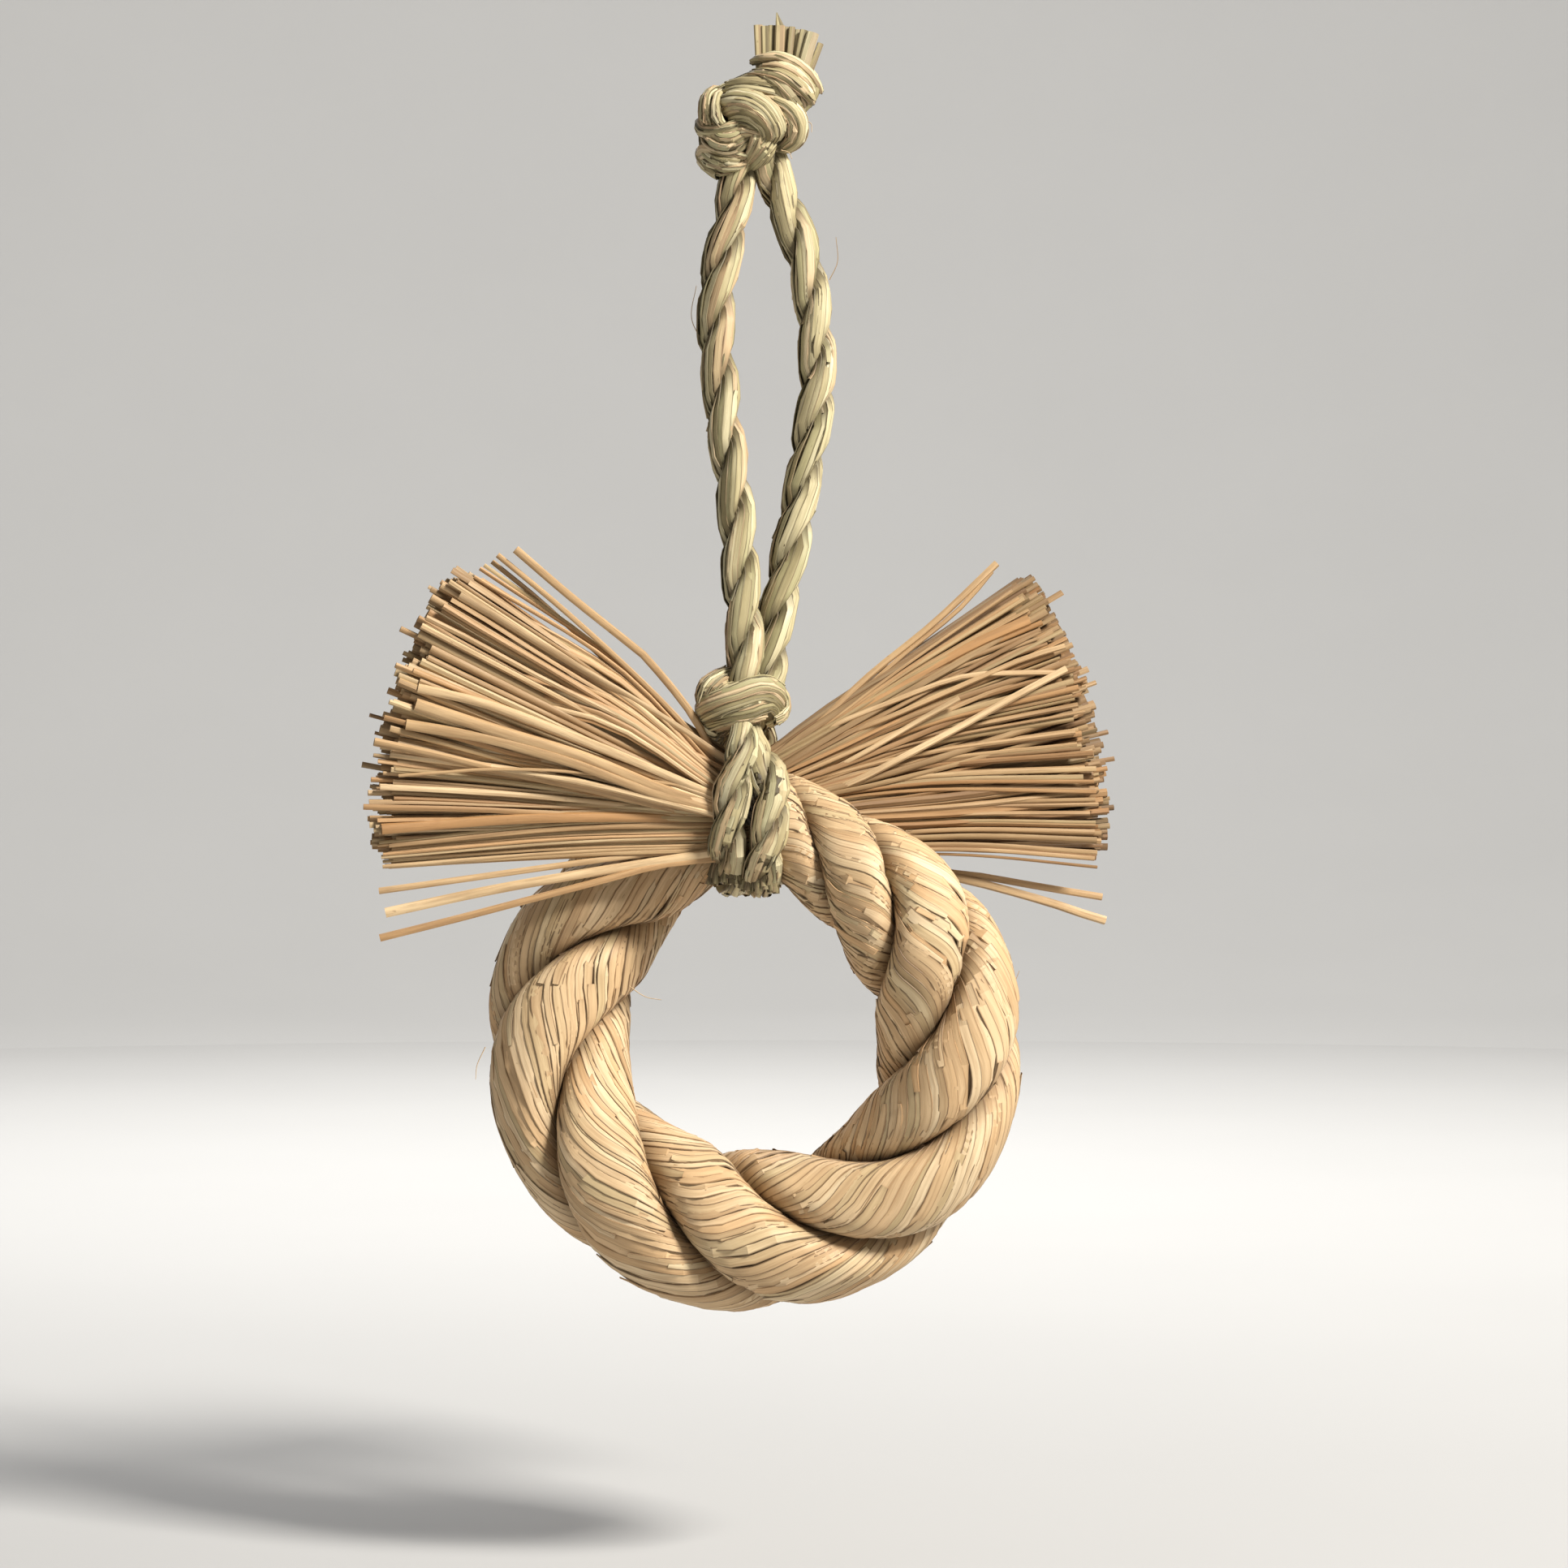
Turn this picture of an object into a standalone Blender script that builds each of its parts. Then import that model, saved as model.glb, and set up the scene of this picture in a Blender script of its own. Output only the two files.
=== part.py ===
"""A small new year wreath. A three-strand straw rope is bent into a ring, its two ends cross at
the top, are bound with a straw cord and fan out as two brushes, and the same cord rises from the
binding as a loop with a knot at its top. Metres, +Z up, front towards -Y, and the origin at the
point where the loop hangs, just under the top knot."""

import math
import random

import bmesh
import bpy
from mathutils import Matrix, Vector

MM = 0.001
Y_AXIS = Vector((0, 1, 0))
TOUCH_GAP = 0.0003
FLAT_ANGLE = math.radians(1.5)
SHARP_ANGLE = math.radians(40)
WELD_DISTANCE = 0.00001

# Ring rope
RING_OUTER_DIAMETER = 0.125
ROPE_DIAMETER = 0.0335
STRAND_COUNT = 3
STRAND_FLATNESS = 0.68
STRAND_GAP = 0.0005
RING_CENTRE_X = -0.0011
RING_BELOW_TIE = 0.00985
LEAVE_ANGLE = 40
ARC_STEP = 2
LEAD_STEPS = 24
LEAD_EASE = 0.34
STRAND_STATIONS = 54
RING_SWELL = 0.13
RING_SWELL_CLOCK = 190
RING_SWELL_SPREAD = 62
STRAND_CORNERS = (0, 34, 68, 112, 180, 248, 292, 326)

# Distance along the rope, as shares of its length from its front end, at which each strand in
# turn comes over the rope's outer edge: the lay is tight at the binding and slackens after it.
LAY_MARKS = (0.038, 0.099, 0.176, 0.264, 0.374, 0.481, 0.595, 0.731, 0.84, 0.934)

# Binding, where the rope's two ends cross
TIE_X = -0.0026
TIE_DROP = 0.1438
END_REACH = 0.0072
END_CLEARANCE = 0.0009
END_LEAN = 16
END_HEIGHT = 0.0225
END_DEPTH = 0.0143
CROSSING_OFFSET = 0.0115
CROSSING_START = 0.016
CROSSING_PEAK = 0.040
CROSSING_LEAVE = 0.050
CROSSING_END = 0.150
SWELL_END = 0.062

# Brushes of loose straw ends
BRUSH_LENGTH = 0.0725
BRUSH_BODY_LENGTH = 0.0575
BRUSH_TIP_HEIGHT = 0.0715
BRUSH_TIP_DEPTH = 0.021
BRUSH_BACK_LEAN = 0.18
BRUSH_STATIONS = 4
BRUSH_EDGE_RISE = 0.1
STRAW_RIDGES = 11
RIDGE_DEPTH_AT_ROOT = 0.0010
RIDGE_DEPTH_AT_TIP = 0.0024
LOOSE_END_RADIUS = 0.0016
LOOSE_END_SIDES = 4
LOOSE_END_ROOT = 0.007
LOOSE_END_SPREAD = 0.88
LOOSE_END_SPLAY = 1.06
LOOSE_END_REACH = (0.9, 1.03)
STRAY_RADIUS = 0.0009
STRAY_LAYER = 0.1
STRAY_KNEE = 0.42

# Rows of loose ends through a brush's depth: how many, the row's place through the depth as a
# share of its half, and its width as a share of the fan's
LOOSE_END_ROWS = ((13, -0.63, 0.82), (15, 0.0, 0.915), (13, 0.63, 0.82))

# Stray stalks of each brush: where each leaves the fan and where it ends, as a share of the
# brush's length and as a lean over the fan's own edges, with a positive lean upwards.
LEFT_STRAYS = (
    ((0.3, 0.86), (0.91, 1.34)), ((0.42, 0.9), (0.94, 1.21)),
    ((0.35, -0.86), (1.0, -1.22)), ((0.22, -0.84), (1.02, -1.46)),
)
RIGHT_STRAYS = (
    ((0.4, 0.86), (0.99, 1.17)), ((0.35, -0.88), (1.03, -1.25)), ((0.28, -0.84), (1.05, -1.41)),
)

# Hanging cord
CORD_DIAMETER = 0.0082
CORD_PITCH = 0.030
CORD_WAIST = 0.62
CORD_SIDES = 8
CORD_POINT_STEP = 2 * CORD_DIAMETER
TUBE_RESOLUTION = 2
WRAP_STEP = 0.0042
WRAP_FLATNESS = 0.64
WRAP_START_SHARE = 0.7
WRAP_START_LENGTH = 0.0125

# The cord's routes, chosen by hand, in millimetres from the hang point
LEFT_LEG_ROUTE = (
    (-2.6, -1.0, 10.0), (-3.8, -1.0, 4.5), (-4.8, -1.0, -1.5), (-5.8, -1.0, -8.7),
    (-8.1, -1.0, -18.8), (-9.2, -1.5, -29.0), (-9.2, -2.0, -39.0), (-8.3, -2.5, -47.0),
    (-7.5, -3.0, -56.0), (-5.6, -3.8, -68.3), (-4.1, -5.2, -82.6), (-3.6, -7.0, -92.2),
    (-2.9, -8.6, -100.5), (-2.6, -10.1, -107.5), (-2.8, -10.6, -113.5), (-3.2, -9.6, -120.0),
)
RIGHT_LEG_ROUTE = (
    (1.4, 0.0, 10.0), (3.4, 0.0, 4.2), (5.0, 0.0, -1.2), (7.2, 0.0, -6.8), (10.5, 0.0, -15.4),
    (12.8, 0.0, -25.6), (13.9, 0.0, -36.6), (14.2, 0.0, -47.5), (12.6, -0.2, -59.0),
    (10.6, -0.4, -70.5), (8.4, -0.8, -82.5), (6.2, -1.4, -93.5), (4.4, -1.6, -101.5),
    (3.4, -1.2, -108.0), (2.4, -1.8, -113.8), (0.6, -3.6, -119.5),
)
LEFT_WRAP_ROUTE = (
    (-2.8, -14.6, -126.4), (-2.9, -17.0, -130.0), (-3.5, -18.2, -134.0), (-5.0, -18.6, -139.5),
    (-5.9, -18.4, -145.0), (-6.4, -17.8, -150.5), (-6.7, -15.8, -155.2), (-6.4, -10.0, -159.4),
    (-5.9, -3.0, -161.8), (-5.4, 4.0, -163.2), (-5.2, 10.5, -162.2), (-5.4, 16.2, -157.4),
    (-5.8, 18.4, -150.5), (-6.0, 18.4, -143.0), (-6.8, 17.0, -136.4), (-7.6, 12.6, -131.2),
    (-7.2, 6.5, -127.8), (-6.6, 2.5, -126.3),
)
RIGHT_WRAP_ROUTE = (
    (1.2, -9.6, -127.3), (2.0, -12.6, -130.8), (3.2, -16.6, -134.8), (3.7, -18.2, -139.5),
    (3.7, -18.4, -145.0), (3.0, -18.2, -151.0), (1.8, -16.6, -157.2), (1.4, -10.5, -162.0),
    (2.2, -3.0, -162.4), (3.2, 4.0, -160.6), (3.7, 10.5, -158.0), (3.9, 16.2, -153.2),
    (3.7, 18.4, -146.5), (2.6, 18.4, -138.5), (1.4, 16.6, -131.4), (0.0, 12.0, -126.8),
    (-0.6, 6.8, -124.8),
)

# Bands of the two knots: each is a route in millimetres with the band's half width
TOP_KNOT_CENTRE = (0.5, 0.5, 15.0)
TOP_KNOT_BANDS = (
    (3.1, ((-2.0, 3.0, 22.5), (-1.6, -3.5, 26.0), (3.8, -5.8, 27.2), (9.6, -5.2, 24.6),
           (12.6, -1.0, 20.5), (9.0, 4.0, 18.0))),
    (3.0, ((0.5, -3.0, 22.5), (4.2, -7.6, 23.2), (9.0, -7.4, 20.4), (11.2, -3.5, 16.5),
           (8.0, 2.5, 13.0))),
    (2.9, ((-9.0, 0.0, 18.5), (-6.8, -5.0, 20.4), (-1.0, -7.4, 20.6), (5.0, -7.0, 18.6),
           (8.5, -2.5, 16.0))),
    (3.2, ((-8.6, -2.5, 18.8), (-4.8, -7.6, 17.4), (0.2, -9.4, 15.0), (3.4, -8.6, 12.4),
           (1.2, -5.0, 8.8), (-1.5, -1.0, 9.0))),
    (3.2, ((3.0, -5.5, 17.5), (7.4, -6.6, 15.4), (9.0, -5.0, 11.4), (6.6, -3.0, 8.4),
           (2.0, -1.0, 8.0))),
    (3.0, ((-5.0, 2.5, 20.0), (-9.3, 0.0, 19.0), (-10.4, -3.0, 15.8), (-7.8, -5.8, 13.4),
           (-3.0, -7.2, 13.6))),
    (2.4, ((-9.5, 3.0, 13.0), (-11.0, -0.5, 11.6), (-8.6, -5.0, 10.6), (-4.4, -6.8, 11.6),
           (-1.0, -7.0, 12.4))),
    (2.8, ((-5.0, 3.0, 6.0), (-10.2, 1.0, 7.2), (-9.6, -3.6, 6.0), (-5.6, -5.2, 5.6),
           (-1.2, -4.6, 7.0), (1.5, -1.5, 9.5))),
    (3.4, ((-8.0, 4.0, 9.0), (-5.0, 8.0, 12.0), (1.0, 9.2, 16.5), (6.5, 6.8, 20.5),
           (6.0, 1.0, 23.0))),
    (3.4, ((-7.0, 3.5, 18.5), (-2.5, 7.4, 19.5), (4.0, 7.6, 13.5), (6.6, 5.0, 9.0),
           (2.5, 2.0, 7.0))),
)
TOP_KNOT_CORE = (7.5, 5.5, 8.0)

LOWER_KNOT_CENTRE = (-3.2, -7.5, -120.2)
LOWER_KNOT_BANDS = (
    (2.7, ((-8.5, -4.0, -125.4), (-11.0, -9.0, -124.6), (-9.2, -13.6, -121.8),
           (-5.6, -15.6, -120.0), (-1.6, -15.6, -118.6), (2.2, -13.6, -117.8), (4.6, -9.0, -119.2),
           (3.0, -3.6, -121.6))),
    (2.1, ((-9.4, -12.0, -125.0), (-5.8, -15.2, -123.8), (-2.4, -16.2, -122.0),
           (0.6, -14.6, -121.6), (1.0, -11.0, -123.6), (-3.0, -10.0, -125.4))),
    (3.6, ((-7.0, -3.0, -115.8), (-9.2, -7.6, -115.6), (-9.6, -11.4, -118.6), (-9.0, -9.0, -122.0))),
    (2.6, ((-9.0, -2.0, -119.0), (-11.0, -5.6, -121.8), (-10.2, -8.2, -125.2),
           (-6.0, -7.5, -125.2))),
    (2.6, ((-1.0, -2.0, -118.0), (4.0, -4.0, -119.0), (3.4, -7.6, -122.8), (-1.0, -9.0, -124.4))),
    (3.4, ((-9.0, -3.0, -117.5), (-5.0, 0.4, -119.0), (0.0, 0.6, -121.0), (3.0, -3.0, -122.0))),
    (3.2, ((-4.5, -2.0, -116.0), (-3.6, 0.8, -119.5), (-3.2, 0.6, -122.4), (-3.0, -3.0, -124.2))),
)
LOWER_KNOT_CORE = (6.8, 6.0, 5.2)
BAND_FLATNESS = 0.62
BAND_SIDES = 6
BAND_STEPS = 6

# The cord's cut ends above the top knot: foot and tip in millimetres, half width, half thickness
CUT_ENDS = (
    ((0.3, -0.5, 19.0), (0.8, -0.5, 36.6), 1.15, 0.5),
    ((2.2, 0.6, 19.0), (3.1, 0.6, 36.4), 0.95, 0.8),
    ((3.6, -0.8, 19.0), (5.3, -0.8, 39.2), 1.35, 0.45),
    ((4.0, 1.2, 19.0), (8.0, 1.2, 36.1), 0.95, 0.9),
    ((5.0, -0.9, 19.0), (9.4, -0.9, 35.7), 0.7, 0.6),
    ((5.2, 1.0, 19.0), (10.8, 1.0, 35.3), 1.0, 0.9),
    ((6.2, -1.0, 18.0), (13.1, -1.0, 34.4), 1.65, 1.5),
    ((6.6, 1.6, 18.0), (15.0, 1.6, 32.3), 0.75, 0.7),
)

# Frayed cut ends of the two turns: the middle of the fan's foot in millimetres
FRAY_LEFT = (-6.7, -11.6, -158.6)
FRAY_RIGHT = (1.3, -12.4, -160.4)
FRAY_HEIGHT = 0.0066
FRAY_TOP_WIDTH = 0.0058
FRAY_WIDTH = 0.0082
FRAY_DEPTH = 0.0042
FRAY_PLEATS = 7
FRAY_PLEAT_DEPTH = 0.24

# Finishes: base colour and roughness
RING_STRAW = ((0.66, 0.48, 0.27), 0.62)
BRUSH_STRAW = ((0.60, 0.42, 0.22), 0.6)
CORD_STRAW = ((0.52, 0.46, 0.28), 0.58)


def clear_scene():
    """Removes whatever the open scene holds."""
    for thing in list(bpy.data.objects):
        bpy.data.objects.remove(thing, do_unlink=True)


def in_metres(points):
    """Points given in millimetres, as vectors in metres."""
    return [Vector(point) * MM for point in points]


def smooth_step(share):
    """Rises smoothly from 0 to 1 as share does."""
    share = min(1.0, max(0.0, share))
    return share * share * (3 - 2 * share)


def finish(name, look):
    """A plain straw material of the given colour and roughness."""
    colour, roughness = look
    material = bpy.data.materials.new(name)
    material.use_nodes = True
    shader = material.node_tree.nodes["Principled BSDF"]
    shader.inputs["Base Color"].default_value = (*colour, 1)
    shader.inputs["Roughness"].default_value = roughness
    shader.inputs["Metallic"].default_value = 0
    return material


def object_of(name, mesh, collection, material=None):
    """Puts a mesh in the scene under a name, shaded smooth except at its sharp edges."""
    mesh.shade_smooth()
    mesh.set_sharp_from_angle(angle=SHARP_ANGLE)
    thing = bpy.data.objects.new(name, mesh)
    collection.objects.link(thing)
    if material:
        mesh.materials.clear()
        mesh.materials.append(material)
    return thing


def cap(shape, row, laddered):
    """Closes one end of a loft: with one flat face, or with rungs across a long bent end."""
    if not laddered:
        shape.faces.new(row)
        return
    half = len(row) // 2
    for i in range(half):
        rung = (row[i], row[i + 1], row[(2 * half - i - 1) % len(row)], row[(2 * half - i) % len(row)])
        shape.faces.new(list(dict.fromkeys(rung)))


def loft(name, rings, laddered=False):
    """A closed mesh through rings of as many points each."""
    shape = bmesh.new()
    rows = [[shape.verts.new(point) for point in ring] for ring in rings]
    sides = len(rows[0])
    for lower, upper in zip(rows, rows[1:]):
        for i in range(sides):
            j = (i + 1) % sides
            shape.faces.new((lower[i], lower[j], upper[j], upper[i]))
    cap(shape, rows[0], laddered)
    cap(shape, rows[-1], laddered)
    bmesh.ops.recalc_face_normals(shape, faces=shape.faces)
    mesh = bpy.data.meshes.new(name)
    shape.to_mesh(mesh)
    shape.free()
    return mesh


def smooth_route(points, count):
    """Evenly spaced points on a smooth curve through the given ones."""
    ends = [2 * points[0] - points[1], *points, 2 * points[-1] - points[-2]]
    fine = []
    for before, start, stop, after in zip(ends, ends[1:], ends[2:], ends[3:]):
        for k in range(16):
            t = k / 16
            fine.append(
                start
                + 0.5 * t * (stop - before)
                + t * t * (before - 2.5 * start + 2 * stop - 0.5 * after)
                + 0.5 * t * t * t * (3 * (start - stop) + after - before)
            )
    fine.append(points[-1])
    return even_steps(fine, count)


def even_steps(fine, count):
    """The given line cut into equal steps, as count points."""
    along = [0.0]
    for a, b in zip(fine, fine[1:]):
        along.append(along[-1] + (b - a).length)
    spaced, k = [], 0
    for i in range(count):
        want = along[-1] * i / (count - 1)
        while k < len(fine) - 2 and along[k + 1] < want:
            k += 1
        share = (want - along[k]) / max(along[k + 1] - along[k], 1e-12)
        spaced.append(fine[k].lerp(fine[k + 1], min(1.0, max(0.0, share))))
    return spaced


def route_length(route):
    """The length of a line of points."""
    return sum((b - a).length for a, b in zip(route, route[1:]))


def directions(route):
    """The unit direction of the line at each of its points."""
    ahead = route[1:] + [2 * route[-1] - route[-2]]
    behind = [2 * route[0] - route[1]] + route[:-1]
    return [(a - b).normalized() for a, b in zip(ahead, behind)]


def rod(name, start, stop, half_width, half_thickness, sides):
    """A straight stalk between two points, flat across the Y axis, with flat ends."""
    along = stop - start
    upright = along.normalized()
    through = (Y_AXIS - Y_AXIS.dot(upright) * upright).normalized()
    axes = Matrix((through.cross(upright), through, upright)).transposed().to_4x4()
    size = Matrix.Diagonal((half_width, half_thickness, 1, 1))
    place = Matrix.Translation((start + stop) / 2) @ axes @ size
    shape = bmesh.new()
    bmesh.ops.create_cone(
        shape, cap_ends=True, segments=sides, radius1=1, radius2=1, depth=along.length, matrix=place
    )
    mesh = bpy.data.meshes.new(name)
    shape.to_mesh(mesh)
    shape.free()
    return mesh


def tube(name, line, radius, collection):
    """A round cord through a line of points, with filled ends."""
    curve = bpy.data.curves.new(name, "CURVE")
    curve.dimensions = "3D"
    curve.bevel_depth = radius
    curve.bevel_resolution = TUBE_RESOLUTION
    curve.use_fill_caps = True
    spline = curve.splines.new("POLY")
    spline.points.add(len(line) - 1)
    for point, place in zip(spline.points, line):
        point.co = (*place, 1)
    thing = bpy.data.objects.new(name, curve)
    collection.objects.link(thing)
    return thing


def tube_mesh(name, line, radius, collection):
    """A round cord as a closed mesh that can be joined to others."""
    thing = tube(name, line, radius, collection)
    bpy.context.view_layer.update()
    evaluated = thing.evaluated_get(bpy.context.evaluated_depsgraph_get())
    mesh = bpy.data.meshes.new_from_object(evaluated)
    bpy.data.objects.remove(thing, do_unlink=True)
    shape = bmesh.new()
    shape.from_mesh(mesh)
    bmesh.ops.remove_doubles(shape, verts=shape.verts, dist=WELD_DISTANCE)
    shape.to_mesh(mesh)
    shape.free()
    return mesh


def facing_frames(route, centre):
    """Two axes across the line at each point: along a surface round the centre, and out of it."""
    frames = []
    for point, along in zip(route, directions(route)):
        out = point - centre
        out = (out - out.dot(along) * along).normalized()
        frames.append((along.cross(out), out))
    return frames


def cord_section(radius):
    """Outline of a two-ply cord: two lobes with a waist between them."""
    outline = []
    for i in range(CORD_SIDES):
        angle = 2 * math.pi * i / CORD_SIDES
        reach = CORD_WAIST + (1 - CORD_WAIST) * abs(math.cos(angle)) ** 0.6
        outline.append((angle, radius * reach))
    return outline


def laid_cord(name, route, frames, pitch, radii, flatness=1.0, start_turn=0.0):
    """A two-ply cord along a route, its plies laid right-handed."""
    step = route_length(route) / (len(route) - 1)
    rings = []
    for k, (point, (side, out)) in enumerate(zip(route, frames)):
        turn = start_turn + 2 * math.pi * k * step / pitch
        ring = []
        for angle, reach in cord_section(radii[k]):
            across = math.cos(angle + turn) * reach
            outward = math.sin(angle + turn) * reach * flatness
            ring.append(point + side * across + out * outward)
        rings.append(ring)
    return loft(name, rings)


def loose_shells(shape):
    """The mesh's separate shells, each as a list of faces."""
    shells, seen = [], set()
    for first in shape.faces:
        if first in seen:
            continue
        seen.add(first)
        shell, waiting = [], [first]
        while waiting:
            face = waiting.pop()
            shell.append(face)
            for edge in face.edges:
                for other in edge.link_faces:
                    if other not in seen:
                        seen.add(other)
                        waiting.append(other)
        shells.append(shell)
    return shells


def shell_volume(shell):
    """The volume a shell of faces holds, negative where it is a hollow."""
    volume = 0.0
    for face in shell:
        first, *others = [vert.co for vert in face.verts]
        for second, third in zip(others, others[1:]):
            volume += first.dot(second.cross(third)) / 6
    return volume


def tidy_join(mesh):
    """Fills the sealed hollows between joined pieces and drops the seams across flat faces."""
    shape = bmesh.new()
    shape.from_mesh(mesh)
    for shell in loose_shells(shape):
        if shell_volume(shell) < 0:
            bmesh.ops.delete(shape, geom=shell, context="FACES")
    bmesh.ops.delete(shape, geom=[v for v in shape.verts if not v.link_faces], context="VERTS")
    bmesh.ops.dissolve_limit(shape, angle_limit=FLAT_ANGLE, verts=shape.verts, edges=shape.edges)
    shape.to_mesh(mesh)
    shape.free()


def fuse(name, meshes, collection, material):
    """One closed body from overlapping closed meshes."""
    things = [object_of(name + "_part", mesh, collection) for mesh in meshes]
    base = things[0]
    for tool in things[1:]:
        join = base.modifiers.new("Join", "BOOLEAN")
        join.operation = "UNION"
        join.solver = "MANIFOLD"
        join.object = tool
    bpy.context.view_layer.update()
    evaluated = base.evaluated_get(bpy.context.evaluated_depsgraph_get())
    mesh = bpy.data.meshes.new_from_object(evaluated)
    mesh.name = name
    tidy_join(mesh)
    for thing in things:
        bpy.data.objects.remove(thing, do_unlink=True)
    return object_of(name, mesh, collection, material)


class Rope:
    """The ring rope's line, from the left brush round the ring to the right brush."""

    def __init__(self):
        self.radius = ROPE_DIAMETER / 2
        self.ring_radius = RING_OUTER_DIAMETER / 2 - self.radius
        self.tie = Vector((TIE_X, 0, -TIE_DROP))
        self.centre = Vector((RING_CENTRE_X, 0, -TIE_DROP - RING_BELOW_TIE - self.ring_radius))
        front = self.lead(-1)
        back = [Vector(point) for point in reversed(self.lead(1))]
        arc = [self.on_ring(angle) for angle in range(LEAVE_ANGLE + ARC_STEP, 360 - LEAVE_ANGLE, ARC_STEP)]
        self.fine = front + arc + back
        self.length = route_length(self.fine)

    def on_ring(self, clock_angle):
        """The point of the ring's middle line at an angle clockwise from the top, in degrees."""
        angle = math.radians(clock_angle)
        return self.centre + self.ring_radius * Vector((math.sin(angle), 0, math.cos(angle)))

    def end(self, side):
        """The middle of the rope's end, where a brush starts: side is -1 left, 1 right."""
        lean = math.radians(END_LEAN)
        return self.tie + END_REACH * Vector((side * math.cos(lean), 0, math.sin(lean)))

    def lead(self, side):
        """The line from the rope's end to the ring, which it meets on its other side."""
        lean, leave = math.radians(END_LEAN), math.radians(LEAVE_ANGLE)
        start, stop = self.end(side), self.on_ring(-side * LEAVE_ANGLE)
        reach = LEAD_EASE * (stop - start).length
        first = start - reach * Vector((side * math.cos(lean), 0, math.sin(lean)))
        second = stop + reach * Vector((side * math.cos(leave), 0, math.sin(leave)))
        line = []
        for k in range(LEAD_STEPS + 1):
            t = k / LEAD_STEPS
            s = 1 - t
            line.append(s**3 * start + 3 * t * s**2 * first + 3 * t**2 * s * second + t**3 * stop)
        return line

    def from_end(self, along):
        """The distance to the nearer end of the rope."""
        return min(along, self.length - along)

    def squash(self, along):
        """How far the binding squeezes the rope: shares of its height and of its depth."""
        share = smooth_step((self.from_end(along) - CROSSING_START) / (SWELL_END - CROSSING_START))
        height = END_HEIGHT / ROPE_DIAMETER
        depth = END_DEPTH / ROPE_DIAMETER
        return height + (1 - height) * share, depth + (1 - depth) * share

    def swell(self, point):
        """How much thicker the rope is at a point of its line: it is heaviest low in the ring."""
        away = point - self.centre
        clock = math.degrees(math.atan2(away.x, away.z)) % 360
        return RING_SWELL * (1 - smooth_step(abs(clock - RING_SWELL_CLOCK) / RING_SWELL_SPREAD))

    def depth_offset(self, along):
        """How far the rope lies behind the ring's middle plane: its front end lies before it."""
        side = -1 if along < self.length / 2 else 1
        near = self.from_end(along)
        end = END_DEPTH / 2 + TOUCH_GAP / 2
        swell = smooth_step((near - CROSSING_START) / (CROSSING_PEAK - CROSSING_START))
        fade = 1 - smooth_step((near - CROSSING_LEAVE) / (CROSSING_END - CROSSING_LEAVE))
        return side * (end + (CROSSING_OFFSET - end) * swell) * fade

    def turn(self, along):
        """The lay: how many strands have come over the outer edge up to here."""
        share = along / self.length
        marks = LAY_MARKS
        k = max(0, min(len(marks) - 2, sum(share >= mark for mark in marks) - 1))
        slopes = [(marks[min(i + 1, len(marks) - 1)] - marks[max(i - 1, 0)]) for i in range(len(marks))]
        rates = [(2 if 0 < i < len(marks) - 1 else 1) / slope for i, slope in enumerate(slopes)]
        if share <= marks[0]:
            return (share - marks[0]) * rates[0]
        if share >= marks[-1]:
            return len(marks) - 1 + (share - marks[-1]) * rates[-1]
        span = marks[k + 1] - marks[k]
        t = (share - marks[k]) / span
        bend_in = rates[k] * span
        bend_out = rates[k + 1] * span
        rise = t * t * (3 - 2 * t)
        return k + rise + bend_in * t * (1 - t) ** 2 - bend_out * t * t * (1 - t)

    def strand_section(self):
        """A strand's distance from the rope's middle, its half thickness and its half width."""
        share = math.pi / STRAND_COUNT
        flat = STRAND_FLATNESS
        lean = math.hypot(math.sin(share) * flat, math.cos(share))
        width = (math.sin(share) * self.radius - STRAND_GAP / 2) / (lean + math.sin(share) * flat)
        return self.radius - flat * width, flat * width, width

    def strand(self, name, index):
        """One strand of the rope, from brush to brush."""
        reach, thickness, width = self.strand_section()
        line = even_steps(self.fine, STRAND_STATIONS)
        front = Vector((0, -1, 0))
        rings = []
        for k, (point, along) in enumerate(zip(line, directions(line))):
            place = self.length * k / (len(line) - 1)
            height, depth = self.squash(place)
            outward = front.cross(along)
            swell = self.swell(point)
            middle = point + Vector((0, self.depth_offset(place), 0)) - outward * self.radius * swell
            height, depth = height * (1 + swell), depth * (1 + swell)
            turn = 2 * math.pi / STRAND_COUNT * (self.turn(place) - index) - math.pi / STRAND_COUNT
            ring = []
            for corner in STRAND_CORNERS:
                angle = math.radians(corner)
                away = reach + thickness * math.cos(angle)
                round_ = width * math.sin(angle)
                up = away * math.cos(turn) - round_ * math.sin(turn)
                out = away * math.sin(turn) + round_ * math.cos(turn)
                ring.append(middle + outward * up * height + front * out * depth)
            rings.append(ring)
        return loft(name, rings)


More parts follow.
